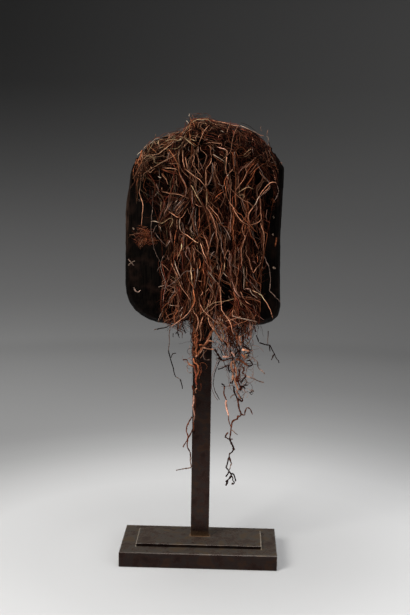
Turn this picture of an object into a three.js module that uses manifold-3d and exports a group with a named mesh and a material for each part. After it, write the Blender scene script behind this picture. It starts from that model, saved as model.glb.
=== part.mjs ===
// A carved face mask of the Ituri forest, hung with a mat of dry roots, on its display stand.
// Millimetres, +Z up. The origin is the centre of the base's underside, and -Y faces the viewer.
import * as THREE from "three";
import { mergeVertices } from "three/addons/utils/BufferGeometryUtils.js";
import Module from "manifold-3d";

const wasm = await Module();
wasm.setup();

// Space left between two pieces that touch.
const gap = 0.3;

// The stand is blackened steel: a block, a thinner plate on it, and a flat bar.
const base = { width: 214, depth: 104, height: 21, edge: 0.8 };
const stepPlate = { width: 172, depth: 59, height: 4.5, edge: 0.4 };
const bar = { x: 0.5, width: 25.4, thickness: 8, frontY: 2.8, topZ: 556, edge: 0.6 };
// The mask sits on two tongues welded to the bar: one under its lower wall, one inside its upper wall.
const tongue = { width: 14, thickness: 3 };
const lowerTongue = { topZ: 336.6, reach: 34 };
const upperTongue = { topZ: 570, reach: 26 };
const plateTopZ = base.height + stepPlate.height;

// The mask is one shell of wood, open at the back. Its outline is given at the back rim.
const mask = {
  left: -104.6,
  right: 105,
  bottomZ: 328,
  topZ: 586,
  rimY: 2.5,
  depth: 57,
  chinNotch: { x: 24, z: 344 },
  centre: { x: 1, z: 460 },
  halfWidth: 104,
  halfHeight: 128,
};
const outlineSteps = 68;
// From the rim inwards: how far in from the outline, and how far forward of the rim.
const outerProfile = [[0, 0], [1, 15], [4, 31], [9, 42], [16, 47.5], [28, 51], [46, 54], [66, 56], [90, 57]];
const innerProfile = [[8, 0], [9, 10], [11, 22], [16, 34], [26, 41], [46, 46], [84, 48]];

// The face is calm and plain: two almond openings, a low nose and a shallow mouth.
const eye = { spacing: 76, z: 488, width: 25, height: 13 };
const nose = { topZ: 486, baseZ: 432, width: 15, height: 7 };
const mouth = { z: 405, width: 46, height: 9, depth: 3 };
const rimHole = { radius: 1.3, sides: 8 };
const rimHoles = [[93, 496], [92.5, 474], [91.5, 449], [92.5, 407], [-94, 456], [-94, 413], [-87, 374]];

// The root crown's skyline over the mask's top edge, left to right, and its thickness there.
const crownSkyline = [
  [-98, 531], [-93, 541], [-83, 556], [-66, 571], [-50, 574], [-38, 578], [-30, 581], [-22, 592], [-14, 600],
  [2, 600.5], [14, 598.5], [33, 592], [56, 588], [68, 581], [77, 573.5], [84, 564], [90, 555], [96, 545],
];
const crown = { frontY: -66, backY: 11, drop: 27, sides: 12, steps: 24 };

// The curtain of roots on the face: height, left edge, right edge and thickness over the wood.
const curtainBands = [
  [572, -62, 70, 5], [556, -84, 82, 12], [538, -91, 90, 15], [518, -90, 91, 15], [500, -76, 90, 15],
  [484, -64, 88, 16], [462, -56, 84, 19], [436, -51, 79, 21], [408, -50, 76, 22], [380, -50, 75, 22],
  [356, -52, 75, 21], [338, -48, 74, 19], [326, -22, 72, 16],
];
const curtain = { columns: 24, locks: 6.5, lockDepth: 0.26, faceY: -53, backY: -40 };

// Thick roots that stand out of the curtain or hang clear of it: radius, then points from the top down.
const curtainRoots = [
  { radius: 1.8, path: [[22, -72, 562], [30, -76, 546], [29, -77, 519], [36, -78, 494], [52, -77, 472], [59, -76, 467]] },
  { radius: 1.3, path: [[30, -75, 530], [37, -77, 508], [39, -77, 472], [39, -76, 446]] },
  { radius: 1.3, path: [[59, -76, 467], [73, -74, 472], [73, -72, 501], [85, -66, 522], [91, -58, 521]] },
  { radius: 1.2, path: [[80, -56, 540], [92, -59, 520], [94, -58, 506], [88, -60, 492]] },
  { radius: 1.9, path: [[-16, -74, 512], [-1, -76, 493], [16, -78, 470], [27, -79, 432], [39, -77, 394]] },
  { radius: 1.3, path: [[-21, -72, 534], [-1, -74, 521], [5, -76, 500], [7, -77, 484]] },
  { radius: 1.5, path: [[-33, -76, 464], [-4, -79, 444], [9, -79, 409], [25, -78, 378], [38, -74, 342]] },
  { radius: 1.7, path: [[-12, -76, 414], [-10, -78, 379], [0, -76, 357], [16, -72, 338], [26, -68, 322]] },
  { radius: 1.2, path: [[74, -72, 486], [77, -70, 451], [86, -60, 412], [88, -55, 388], [100, -50, 372]] },
  { radius: 1.1, path: [[-80, -54.5, 524], [-76, -56, 493], [-77, -57, 462], [-76, -56, 452]] },
  { radius: 1.2, path: [[-50, -57, 480], [-60, -58, 436], [-48, -60, 400], [-46, -60, 370], [-42, -58, 344]] },
  { radius: 1.3, path: [[-38, -62, 345], [-42, -56, 306], [-40, -54, 288], [-33, -54, 270], [-24, -54, 252]] },
  { radius: 1.3, path: [[65, -58, 345], [80, -58, 318], [86, -56, 304], [96, -56, 298], [104, -55, 285]] },
];

// Two bundles hang below the curtain: points along the middle, then the radii there.
const tailBundle = {
  path: [[44, -57, 325.6], [44, -58, 310], [45, -60, 294], [46, -60, 276], [47, -60, 256], [50, -60, 236], [49, -60, 214]],
  halfWidth: [24, 18, 14, 9, 6, 5, 3],
  halfDepth: [13, 12, 11, 9, 7, 5, 3],
};
const tailRoots = [
  { radius: 1.6, path: [[36, -60, 262], [33, -60, 246], [35, -60, 222], [41, -60, 204], [44, -60, 190], [41, -60, 182]] },
  { radius: 1.5, path: [[50, -60, 240], [54, -60, 226], [52, -60, 212], [43, -60, 203], [41, -60, 184],
    [46, -60, 173], [42, -60, 160], [40, -60, 143], [44, -60, 135], [40, -60, 124]] },
  { radius: 1.2, path: [[42, -60, 146], [47, -60, 137], [50, -60, 128]] },
  { radius: 1.2, path: [[60, -60, 296], [70, -60, 286], [76, -60, 278], [90, -60, 266]] },
  { radius: 1.2, path: [[50, -60, 264], [65, -60, 250], [70, -60, 240], [66, -60, 230]] },
  { radius: 1.2, path: [[32, -60, 296], [23, -60, 286], [17, -60, 268], [20, -60, 250], [25, -60, 241]] },
  { radius: 1.5, path: [[54, -60, 300], [62, -60, 304], [67, -60, 296], [66, -60, 286], [56, -60, 284]] },
  { radius: 1.5, path: [[34, -60, 302], [22, -60, 299], [17, -60, 306]] },
];
const postTailBundle = {
  path: [[-3, -54, 325.6], [-4, -54, 308], [-6, -54, 290], [-7, -54, 268], [-8, -54, 246], [-10, -54, 230]],
  halfWidth: [11, 9, 7.5, 5.5, 4, 2],
  halfDepth: [10, 8, 7, 5, 4, 2],
};
const postTailRoots = [
  { radius: 1.3, path: [[-10, -54, 236], [-9, -54, 218], [-11, -54, 200], [-17, -54, 186], [-20, -54, 172]] },
  { radius: 1.1, path: [[-17, -54, 187], [-14, -54, 176], [-11, -54, 166], [-12, -54, 146], [-30, -54, 142]] },
  { radius: 1.2, path: [[-8, -54, 284], [-16, -54, 272], [-13, -54, 262]] },
];
const tuft = { x: -76, z: 447, halfWidth: 17, halfHeight: 14, thickness: 9 };
const topTwig = { radius: 1.4, path: [[-8, -30, 592], [-17, -30, 600], [-21, -30, 606.5]] };
const strandSides = 5;

// Finishes, as they look a step away.
const finish = {
  blackenedSteel: { color: 0x2d2723, roughness: 0.5, metalness: 0.8 },
  charredWood: { color: 0x17110d, roughness: 0.6, metalness: 0 },
  dryRoot: { color: 0x5a3524, roughness: 0.85, metalness: 0 },
  paleRoot: { color: 0x7a5335, roughness: 0.85, metalness: 0 },
};

// A mesh of its own finish under a plain name.
function piece(name, geometry, look) {
  const mesh = new THREE.Mesh(geometry, new THREE.MeshStandardMaterial(look));
  mesh.name = name;
  return mesh;
}

// Joins closed rings, all of the same number of points, into one closed skin with a fan at each end.
function skin(rings) {
  const count = rings[0].length;
  const points = rings.flat();
  const faces = [];
  for (let r = 0; r < rings.length - 1; r += 1) {
    for (let i = 0; i < count; i += 1) {
      const a = r * count + i;
      const b = r * count + ((i + 1) % count);
      faces.push(a, b, b + count, a, b + count, a + count);
    }
  }
  for (const [ring, forward] of [[rings[0], false], [rings[rings.length - 1], true]]) {
    const start = forward ? (rings.length - 1) * count : 0;
    const middle = ring.reduce((sum, p) => sum.add(p), new THREE.Vector3()).divideScalar(count);
    points.push(middle);
    for (let i = 0; i < count; i += 1) {
      const a = start + i;
      const b = start + ((i + 1) % count);
      faces.push(...(forward ? [a, b, points.length - 1] : [b, a, points.length - 1]));
    }
  }
  const geometry = new THREE.BufferGeometry().setFromPoints(points).setIndex(faces);
  return signedVolume(geometry) < 0 ? turnedInsideOut(geometry) : geometry;
}

function signedVolume(geometry) {
  const { position } = geometry.attributes;
  const { array } = geometry.index;
  const corner = [new THREE.Vector3(), new THREE.Vector3(), new THREE.Vector3()];
  let sum = 0;
  for (let i = 0; i < array.length; i += 3) {
    corner.forEach((v, k) => v.fromBufferAttribute(position, array[i + k]));
    sum += corner[0].dot(corner[1].cross(corner[2])) / 6;
  }
  return sum;
}

function turnedInsideOut(geometry) {
  const { array } = geometry.index;
  for (let i = 0; i < array.length; i += 3) [array[i], array[i + 1]] = [array[i + 1], array[i]];
  return geometry;
}

function solid(geometry) {
  const bare = geometry.clone();
  bare.deleteAttribute("normal");
  bare.deleteAttribute("uv");
  const merged = mergeVertices(bare, 1e-3);
  return new wasm.Manifold(
    new wasm.Mesh({
      numProp: 3,
      vertProperties: new Float32Array(merged.attributes.position.array),
      triVerts: new Uint32Array(merged.index.array),
    }),
  );
}

function geometryOf(made) {
  const { vertProperties, triVerts } = made.getMesh();
  const geometry = new THREE.BufferGeometry();
  geometry.setAttribute("position", new THREE.BufferAttribute(new Float32Array(vertProperties), 3));
  geometry.setIndex([...triVerts]);
  return geometry;
}

function fuse(geometries) {
  return geometries.map(solid).reduce((sum, next) => sum.add(next));
}

// A block with small chamfered edges, centred over the origin, standing on z.
function chamferedBlock({ width, depth, height, edge }, z) {
  const w = width / 2 - edge;
  const d = depth / 2 - edge;
  const plan = new THREE.Shape([[-w, -d], [w, -d], [w, d], [-w, d]].map(([x, y]) => new THREE.Vector2(x, y)));
  const block = new THREE.ExtrudeGeometry(plan, {
    depth: height - 2 * edge,
    bevelThickness: edge,
    bevelSize: edge,
    bevelSegments: 1,
  });
  return block.translate(0, 0, z + edge);
}

function boxBetween(low, high) {
  const size = high.map((v, i) => v - low[i]);
  const middle = high.map((v, i) => (v + low[i]) / 2);
  return new THREE.BoxGeometry(...size).translate(...middle);
}

// The bar with its two tongues, welded together. The upper one stands on a stub above the bar.
function postGeometry() {
  const backY = bar.frontY + bar.thickness;
  const flat = chamferedBlock(
    { width: bar.width, depth: bar.thickness, height: bar.topZ - plateTopZ, edge: bar.edge },
    plateTopZ,
  ).translate(bar.x, (bar.frontY + backY) / 2, 0);
  const half = tongue.width / 2;
  const into = bar.frontY + 2;
  const tongues = [lowerTongue, upperTongue].map(({ topZ, reach }) =>
    boxBetween([-half, bar.frontY - reach, topZ - tongue.thickness], [half, into, topZ]),
  );
  const stub = boxBetween([-half, bar.frontY + 1, bar.topZ - 12], [half, backY - 1, upperTongue.topZ]);
  return geometryOf(fuse([flat, stub, ...tongues]));
}

// The rim's outline, anticlockwise seen from the front, in x and z.
function maskOutline() {
  const { left, right, bottomZ, topZ, chinNotch } = mask;
  const line = new THREE.Shape();
  line.moveTo(chinNotch.x, chinNotch.z);
  line.bezierCurveTo(chinNotch.x + 16, chinNotch.z, 50, bottomZ, 70, bottomZ);
  line.bezierCurveTo(87, bottomZ, right - 1, bottomZ + 6, right, bottomZ + 23);
  line.lineTo(right - 1.6, 395);
  line.lineTo(right - 2.5, 452);
  line.lineTo(right - 1.4, 484);
  line.lineTo(right, 522);
  line.lineTo(right, 543);
  line.lineTo(right - 8, 550);
  line.bezierCurveTo(88, 564, 74, 577, 48, 581);
  line.quadraticCurveTo(8, topZ + 3, -30, 580);
  line.bezierCurveTo(-62, 576, -94, 555, -98.5, 528);
  line.lineTo(-99.6, 514);
  line.lineTo(left + 1.4, 495);
  line.lineTo(left, 484);
  line.lineTo(left, 379);
  line.bezierCurveTo(left + 0.6, 352, -84, bottomZ, -45, bottomZ);
  line.bezierCurveTo(-20, bottomZ, 0, chinNotch.z, chinNotch.x, chinNotch.z);
  return line;
}

// Height of the carved nose over the plain face, at a point of the front.
function noseRise(x, z) {
  const along = (nose.topZ - z) / (nose.topZ - nose.baseZ);
  const across = Math.abs(x - mask.centre.x) / (nose.width * (0.45 + 0.55 * Math.min(along, 1)));
  const tip = 1 - THREE.MathUtils.smoothstep(along, 0.95, 1.3);
  return along > 0 ? nose.height * along * tip * Math.max(0, 1 - across * across) : 0;
}

// One ring of the shell: the outline drawn in by inset, at depth forward of the rim, with room round it.
function maskRing(outline, inset, depth, room = 0) {
  const { centre, halfWidth, halfHeight, rimY } = mask;
  return outline.map(({ x, y: z }) => {
    const across = x - centre.x;
    const up = z - centre.z;
    const px = centre.x + across * (1 - inset / halfWidth);
    const pz = centre.z + up * (1 - inset / halfHeight);
    const y = rimY - depth - noseRise(px, pz) * (depth > mask.depth - 6 ? 1 : 0) - room;
    return new THREE.Vector3(px + across * (room / halfWidth), y, pz + up * (room / halfHeight));
  });
}

function maskShell() {
  const outline = maskOutline().getSpacedPoints(outlineSteps).slice(0, -1);
  const inner = innerProfile.map(([inset, depth]) => maskRing(outline, inset, depth));
  const outer = outerProfile.map(([inset, depth]) => maskRing(outline, inset, depth));
  return skin([...inner.reverse(), ...outer]);
}

// The space the mask takes, hollow included, drawn a little larger: what the roots must stay out of.
function maskEnvelope() {
  const outline = maskOutline().getSpacedPoints(outlineSteps).slice(0, -1);
  const outer = outerProfile.map(([inset, depth]) => maskRing(outline, inset, depth, gap));
  const behind = maskRing(outline, 0, -mask.depth, gap);
  return skin([behind, ...outer]);
}

// A cutter with the given outline in x and z that runs along Y between two depths.
function cutterAlongY(shape, fromY, toY) {
  return new THREE.ExtrudeGeometry(shape, { depth: toY - fromY, bevelEnabled: false, curveSegments: 10 })
    .rotateX(Math.PI / 2)
    .translate(0, toY, 0);
}

// An almond with pointed ends.
function almond(x, z, width, height) {
  const shape = new THREE.Shape();
  shape.moveTo(x - width / 2, z);
  shape.quadraticCurveTo(x, z - height, x + width / 2, z);
  shape.quadraticCurveTo(x, z + height, x - width / 2, z);
  return shape;
}

function maskGeometry() {
  const { centre, rimY, depth } = mask;
  const frontY = rimY - depth;
  const inFront = frontY - nose.height - 5;
  let made = solid(maskShell());
  for (const side of [-1, 1]) {
    const opening = almond(centre.x + (side * eye.spacing) / 2, eye.z, eye.width, eye.height);
    made = made.subtract(solid(cutterAlongY(opening, inFront, rimY - 20)));
  }
  const lips = almond(centre.x, mouth.z, mouth.width, mouth.height);
  made = made.subtract(solid(cutterAlongY(lips, inFront, frontY + mouth.depth)));
  for (const [x, z] of rimHoles) {
    const hole = new THREE.CylinderGeometry(rimHole.radius, rimHole.radius, 60, rimHole.sides).translate(x, rimY - 25, z);
    made = made.subtract(solid(hole));
  }
  return geometryOf(made);
}

// The mat over the top edge: an oval section under the skyline, open where the wood is.
function crownSolid() {
  const skyline = new THREE.SplineCurve(crownSkyline.map(([x, z]) => new THREE.Vector2(x, z)));
  const { steps } = crown;
  const midY = (crown.frontY + crown.backY) / 2;
  const rings = [];
  for (let i = 0; i <= steps; i += 1) {
    const { x, y: topZ } = skyline.getPoint(i / steps);
    const fullness = Math.pow(Math.sin(Math.PI * (0.04 + 0.92 * (i / steps))), 0.45);
    const tufts = 1 + 0.08 * Math.sin(i * 2.4);
    const halfDepth = ((crown.backY - crown.frontY) / 2) * fullness * tufts;
    const halfHeight = crown.drop * fullness;
    rings.push(ovalRing(crown.sides, (across, up) => [
      x,
      midY + halfDepth * across,
      topZ - halfHeight + halfHeight * up,
    ]));
  }
  return solid(skin(rings));
}

// A ring of points placed by a function of the cosine and the sine round it.
function ovalRing(sides, place) {
  return Array.from({ length: sides }, (_, i) => {
    const turn = (i / sides) * Math.PI * 2;
    return new THREE.Vector3(...place(Math.cos(turn), Math.sin(turn)));
  });
}

// One band of the curtain: a lens over the face whose front stands out in upright locks.
function curtainRing([z, leftX, rightX, thickness], index) {
  const ring = [];
  for (let i = 0; i <= curtain.columns; i += 1) {
    const u = i / curtain.columns;
    const swell = Math.pow(Math.max(0, 1 - Math.pow(Math.abs(2 * u - 1), 3)), 0.7);
    const lock = 1 + curtain.lockDepth * Math.cos(2 * Math.PI * (curtain.locks * u + 0.11 * index));
    const sideFall = 9 * Math.pow(2 * u - 1, 4);
    const y = curtain.faceY + sideFall - thickness * swell * lock - 1;
    ring.push(new THREE.Vector3(THREE.MathUtils.lerp(leftX, rightX, u), y, z));
  }
  ring.push(new THREE.Vector3(rightX, curtain.backY, z), new THREE.Vector3(leftX, curtain.backY, z));
  return ring;
}

// A bundle of roots: lobed oval rings along a path.
function bundle({ path, halfWidth, halfDepth }) {
  const rings = path.map(([x, y, z], i) =>
    ovalRing(12, (across, forward) => {
      const lobe = 1 + 0.14 * Math.cos(4 * Math.atan2(forward, across) + i);
      return [x + halfWidth[i] * lobe * across, y + halfDepth[i] * lobe * forward, z];
    }),
  );
  return skin(rings);
}

// One root: a thin rod along its path.
function strand({ path, radius }) {
  const section = new THREE.Shape(ovalRing(strandSides, (c, s) => [radius * c, radius * s, 0]));
  const route = new THREE.CatmullRomCurve3(path.map((p) => new THREE.Vector3(...p)));
  return new THREE.ExtrudeGeometry(section, { steps: path.length * 2, extrudePath: route, bevelEnabled: false });
}

// A flattened nest of fine roots on the left of the face.
function tuftGeometry() {
  const { x, z, halfWidth, halfHeight, thickness } = tuft;
  const backY = -38;
  const frontY = -54;
  const rings = [];
  for (let i = 0; i <= 6; i += 1) {
    const swell = Math.sin(Math.PI * (0.06 + 0.44 * (i / 6)));
    const y = THREE.MathUtils.lerp(frontY - thickness, backY, i / 6);
    rings.push(ovalRing(14, (across, up) => {
      const spike = 1 + 0.16 * Math.cos(7 * Math.atan2(up, across));
      return [x + halfWidth * swell * spike * across, y, z + halfHeight * swell * spike * up];
    }));
  }
  return skin(rings);
}

const stand = new THREE.Group();
stand.add(
  piece("stand_base", chamferedBlock(base, 0), finish.blackenedSteel),
  piece("stand_step_plate", chamferedBlock(stepPlate, base.height), finish.blackenedSteel),
  piece("stand_post", postGeometry(), finish.blackenedSteel),
);

const envelope = solid(maskEnvelope());
const crownMade = crownSolid().add(solid(strand(topTwig)));
const curtainMade = fuse([skin(curtainBands.map(curtainRing)), ...curtainRoots.map(strand)]);
const tuftMade = solid(tuftGeometry());
const roots = new THREE.Group();
roots.add(
  piece("root_crown", geometryOf(crownMade.subtract(envelope)), finish.paleRoot),
  piece("root_curtain", geometryOf(curtainMade.subtract(envelope).subtract(crownMade)), finish.dryRoot),
  piece("root_tail", geometryOf(fuse([bundle(tailBundle), ...tailRoots.map(strand)])), finish.dryRoot),
  piece("root_post_tail", geometryOf(fuse([bundle(postTailBundle), ...postTailRoots.map(strand)])), finish.dryRoot),
  piece("root_tuft", geometryOf(tuftMade.subtract(envelope).subtract(curtainMade)), finish.dryRoot),
);

const part = new THREE.Group();
part.add(stand, piece("mask_face", maskGeometry(), finish.charredWood), roots);

export default part;
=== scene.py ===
import math

import bpy
import numpy as np
from mathutils import Matrix, Vector
from mathutils.bvhtree import BVHTree


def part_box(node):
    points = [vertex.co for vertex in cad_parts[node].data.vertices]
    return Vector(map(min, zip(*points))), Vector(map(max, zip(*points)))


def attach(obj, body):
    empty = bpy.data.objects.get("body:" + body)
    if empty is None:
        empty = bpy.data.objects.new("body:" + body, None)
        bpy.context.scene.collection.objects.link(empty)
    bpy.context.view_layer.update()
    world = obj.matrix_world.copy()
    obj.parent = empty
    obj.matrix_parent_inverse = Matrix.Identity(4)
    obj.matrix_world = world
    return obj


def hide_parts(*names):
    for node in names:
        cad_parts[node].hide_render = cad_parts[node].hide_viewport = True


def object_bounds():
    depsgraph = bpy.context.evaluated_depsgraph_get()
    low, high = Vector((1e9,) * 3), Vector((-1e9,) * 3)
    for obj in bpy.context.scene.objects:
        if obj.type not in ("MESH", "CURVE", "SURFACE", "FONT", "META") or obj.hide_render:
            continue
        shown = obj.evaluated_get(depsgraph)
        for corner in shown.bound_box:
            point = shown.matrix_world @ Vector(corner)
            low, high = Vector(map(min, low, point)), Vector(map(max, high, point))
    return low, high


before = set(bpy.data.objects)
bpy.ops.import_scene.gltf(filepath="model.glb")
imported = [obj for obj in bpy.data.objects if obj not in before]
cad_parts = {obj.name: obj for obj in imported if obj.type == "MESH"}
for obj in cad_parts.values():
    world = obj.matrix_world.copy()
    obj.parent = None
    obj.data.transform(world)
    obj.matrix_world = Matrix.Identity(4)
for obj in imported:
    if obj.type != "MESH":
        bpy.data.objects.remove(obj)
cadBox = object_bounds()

# A hollow, blackened wooden face mask hung with dry plant roots, on a blackened steel display stand.
# Shapes are worked out in millimetres and become metres when a mesh is made.

mm = 0.001


# Small helpers

def hexColour(text):
    # sRGB hex to the linear colour that a shader takes
    channels = [int(text[i:i + 2], 16) / 255 for i in (0, 2, 4)]
    return [c / 12.92 if c <= 0.04045 else ((c + 0.055) / 1.055) ** 2.4 for c in channels] + [1.0]


def addNode(tree, kind, inputs=None, ramp=None, **settings):
    # one node with its settings, values and links; a node given as an input is linked by its own output
    node = tree.nodes.new("ShaderNode" + kind)
    for key, value in settings.items():
        setattr(node, key, value)
    if ramp:
        stops = node.color_ramp.elements
        while len(stops) < len(ramp):
            stops.new(0.5)
        for stop, (place, colour) in zip(stops, ramp):
            stop.position = place
            stop.color = hexColour(colour)
    for key, value in (inputs or {}).items():
        if isinstance(value, bpy.types.Node):
            value = next(socket for socket in value.outputs if socket.enabled)
        if isinstance(value, bpy.types.NodeSocket):
            tree.links.new(value, node.inputs[key])
        else:
            node.inputs[key].default_value = value
    return node


def newMaterial(name):
    material = bpy.data.materials.new(name)
    material.use_nodes = True
    material.node_tree.nodes.clear()
    return material, material.node_tree


def addPiece(name, mesh, material, slotName, *nodes):
    piece = bpy.data.objects.new(name, mesh)
    bpy.context.collection.objects.link(piece)
    mesh.materials.clear()
    mesh.materials.append(material)
    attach(piece, "root")
    if nodes:
        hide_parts(*nodes)
    return piece


def grainOf(size):
    # noise scale for lumps that are `size` mm across, on coordinates in metres
    return 1 / (size * mm)


# Camera, at the place the photograph was taken from

cameraView = dict(lens=60, sensor=36, place=(43, -1369, 555), down=8.52, lean=0.90, turn=1.67)


def setCamera():
    down, lean, turn = (math.radians(cameraView[key]) for key in ("down", "lean", "turn"))
    level = Vector((-math.sin(turn), math.cos(turn), 0))
    right = Vector((math.cos(turn), math.sin(turn), 0))
    up = Vector((0, 0, 1))
    ahead = level * math.cos(down) - up * math.sin(down)
    over = up * math.cos(down) + level * math.sin(down)
    across = right * math.cos(lean) + over * math.sin(lean)
    upward = over * math.cos(lean) - right * math.sin(lean)
    data = bpy.data.cameras.new("camera")
    data.lens = cameraView["lens"]
    data.sensor_width = cameraView["sensor"]
    camera = bpy.data.objects.new("camera", data)
    bpy.context.collection.objects.link(camera)
    axes = Matrix((across, upward, -ahead)).transposed().to_4x4()
    camera.matrix_world = Matrix.Translation(Vector(cameraView["place"]) * mm) @ axes
    bpy.context.scene.camera = camera


setCamera()
print("camera set")


# Studio: a round sweep, white underfoot and going to charcoal grey up the wall, with three softboxes

# the paper's greys hold painted light as well as paper: part of their fall up the wall and all of their
# change to the sides
studio = dict(
    flat=1.6,              # metres of level floor round the object
    bend=0.8,              # radius of the curve from floor to wall
    height=3.2,
    rings=(30, 24, 20),    # on the floor, round the bend and up the wall
    around=96,
    # metres along the floor and up the wall, the paper's grey there with painted light falloff in it,
    # and how much painted light makes it lighter to the right
    shades=((0.0, "bfbfbf", -0.2), (0.24, "c1c1c1", 0.01), (0.32, "c8c8c8", 0.03), (0.42, "c3c3c3", 0.1),
            (0.54, "b0b0b0", 0.13), (0.68, "9e9e9e", 0.11), (0.86, "979797", -0.01),
            (1.08, "949494", -0.09), (1.37, "969696", -0.11), (1.7, "949494", -0.14),
            (2.0, "7d7d7d", -0.06), (2.35, "666666", 0.0), (2.53, "5a5a5a", 0.1), (2.71, "4e4e4e", 0.21),
            (2.88, "454545", 0.36), (3.1, "434343", 0.38), (4.3, "2c2c2c", 0.3)),
    spread=0.17,           # half the width of the photograph's view, as a share of the distance
    paintedSideLightFade=0.6,          # metres ahead of the camera over which the painted sideways light comes in
    softboxes=(
        dict(name="keyBox", place=(-1.15, -1.25, 1.35), size=1.0, power=42, colour="fffdfa"),
        dict(name="fillBox", place=(1.25, -1.15, 1.1), size=1.1, power=10, colour="fbfcff"),
        dict(name="topBox", place=(0.1, -0.1, 2.1), size=1.3, power=34, colour="ffffff"),
    ),
    aim=(0, 0, 0.36),
    room="8a8d92",
    roomStrength=0.12,
)


def sweepProfile():
    # radius, height and distance run along the profile
    flat, bend = studio["flat"], studio["bend"]
    onFloor, onBend, onWall = studio["rings"]
    rows = [(r, 0.0) for r in np.linspace(0, flat, onFloor)]
    turns = np.linspace(0, math.pi / 2, onBend)[1:]
    rows += [(flat + bend * math.sin(a), bend * (1 - math.cos(a))) for a in turns]
    rows += [(flat + bend, z) for z in np.linspace(bend, studio["height"], onWall)[1:]]
    run = [0.0]
    for (r0, z0), (r1, z1) in zip(rows, rows[1:]):
        run.append(run[-1] + math.hypot(r1 - r0, z1 - z0))
    return rows, run


def paperGreyAndPaintedLight(way, x, y):
    # the paper's grey at a place on the sweep: a gradient that is partly the paper's own and partly painted
    # light falloff up the wall, with painted light making it lighter or darker to the sides
    ways, greys, sides = zip(*studio["shades"])
    grey = np.interp(way, ways, [hexColour(text)[0] for text in greys])
    ahead = y - cameraView["place"][1] * mm
    side = np.clip(x / (studio["spread"] * max(ahead, 0.3)), -1.2, 1.2)
    side *= np.clip(ahead / studio["paintedSideLightFade"], 0, 1)
    return grey * (1 + np.interp(way, ways, sides) * side)


def makeStudio():
    rows, run = sweepProfile()
    around = studio["around"]
    vertices = [(0, 0, 0)]
    greys = [paperGreyAndPaintedLight(0, 0, 0)]
    for (radius, height), way in list(zip(rows, run))[1:]:
        for i in range(around):
            angle = 2 * math.pi * i / around
            vertices.append((radius * math.cos(angle), radius * math.sin(angle), height))
            greys.append(paperGreyAndPaintedLight(way, *vertices[-1][:2]))
    faces = [(0, 1 + i, 1 + (i + 1) % around) for i in range(around)]
    for ring in range(len(rows) - 2):
        low = 1 + ring * around
        for i in range(around):
            j = (i + 1) % around
            faces.append((low + i, low + around + i, low + around + j, low + j))
    mesh = bpy.data.meshes.new("studioSweep")
    mesh.from_pydata(vertices, [], faces)
    mesh.polygons.foreach_set("use_smooth", [True] * len(faces))
    mesh.attributes.new("paperGreyAndPaintedLight", "FLOAT", "POINT").data.foreach_set("value", greys)
    material, tree = newMaterial("matteStudioPaper")
    paper = addNode(tree, "BsdfDiffuse", {"Color": addNode(tree, "Attribute", attribute_name="paperGreyAndPaintedLight")})
    addNode(tree, "OutputMaterial", {"Surface": paper})
    mesh.materials.append(material)
    sweep = bpy.data.objects.new("studioSweep", mesh)
    bpy.context.collection.objects.link(sweep)
    for box in studio["softboxes"]:
        data = bpy.data.lights.new(box["name"], "AREA")
        data.shape = "SQUARE"
        data.size = box["size"]
        data.energy = box["power"]
        data.color = hexColour(box["colour"])[:3]
        light = bpy.data.objects.new(box["name"], data)
        light.location = box["place"]
        aim = Vector(studio["aim"]) - Vector(box["place"])
        light.rotation_euler = aim.to_track_quat("-Z", "Y").to_euler()
        light.visible_camera = False
        bpy.context.collection.objects.link(light)
    world = bpy.data.worlds.new("studioRoom")
    world.use_nodes = True
    background = world.node_tree.nodes["Background"]
    background.inputs["Color"].default_value = hexColour(studio["room"])
    background.inputs["Strength"].default_value = studio["roomStrength"]
    bpy.context.scene.world = world
    bpy.context.scene.view_settings.view_transform = "Standard"


makeStudio()
print("studio made")


# Blackened steel stand: hot-rolled bar and plate, oiled black, so its upright faces mirror the room softly;
# its level faces are dulled by brown oxide and a dusty film and lighter with painted light from above,
# and the bar is painted lighter toward its foot, a painted reflection of the floor

steel = dict(
    clouds=18, specks=1.6, rollLines=0.9, edgeRadius=0.9,
    tones=(0.32, 0.44, 0.53, 0.6, 0.72),    # where each tone of the oiled skin lies in its clouds
    upright=("1b1210", "291c18", "261f1d", "31221a", "291c18"),
    # the level tones are lighter: dusty oxide, with painted light from above in them
    level=("342b27", "3e342d", "3c3834", "46392b", "3e342d"),
    bright="8a7d72", weld="7d6248", paste="a59a8a",
    foot=(0.5, 6.8, 12.7, 4.0),    # where the bar stands: its middle, and half its width and depth
    weldReach=(2.6, 0.5), weldTop=(34, 26), pasteReach=(1.1, 0.5), pasteEnd=(1, 0),
    # heights over which the painted floor reflection grows toward the bar's foot, and where the base and
    # plate are toned down
    paintedReflectionHeights=(330, 40), plateHeights=(34, 30),
)


def outsideOf(tree, axes, rectangle):
    # how far a place lies outside a rectangle's sides, along x and along y
    ways = []
    for axis, middle, half in zip("XY", rectangle[:2], rectangle[2:]):
        way = addNode(tree, "Math", {0: axes.outputs[axis], 1: middle}, operation="SUBTRACT")
        way = addNode(tree, "Math", {0: way}, operation="ABSOLUTE")
        ways.append(addNode(tree, "Math", {0: way, 1: half}, operation="SUBTRACT"))
    return ways


def millimetres(pair):
    return [value * mm for value in pair]


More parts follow.
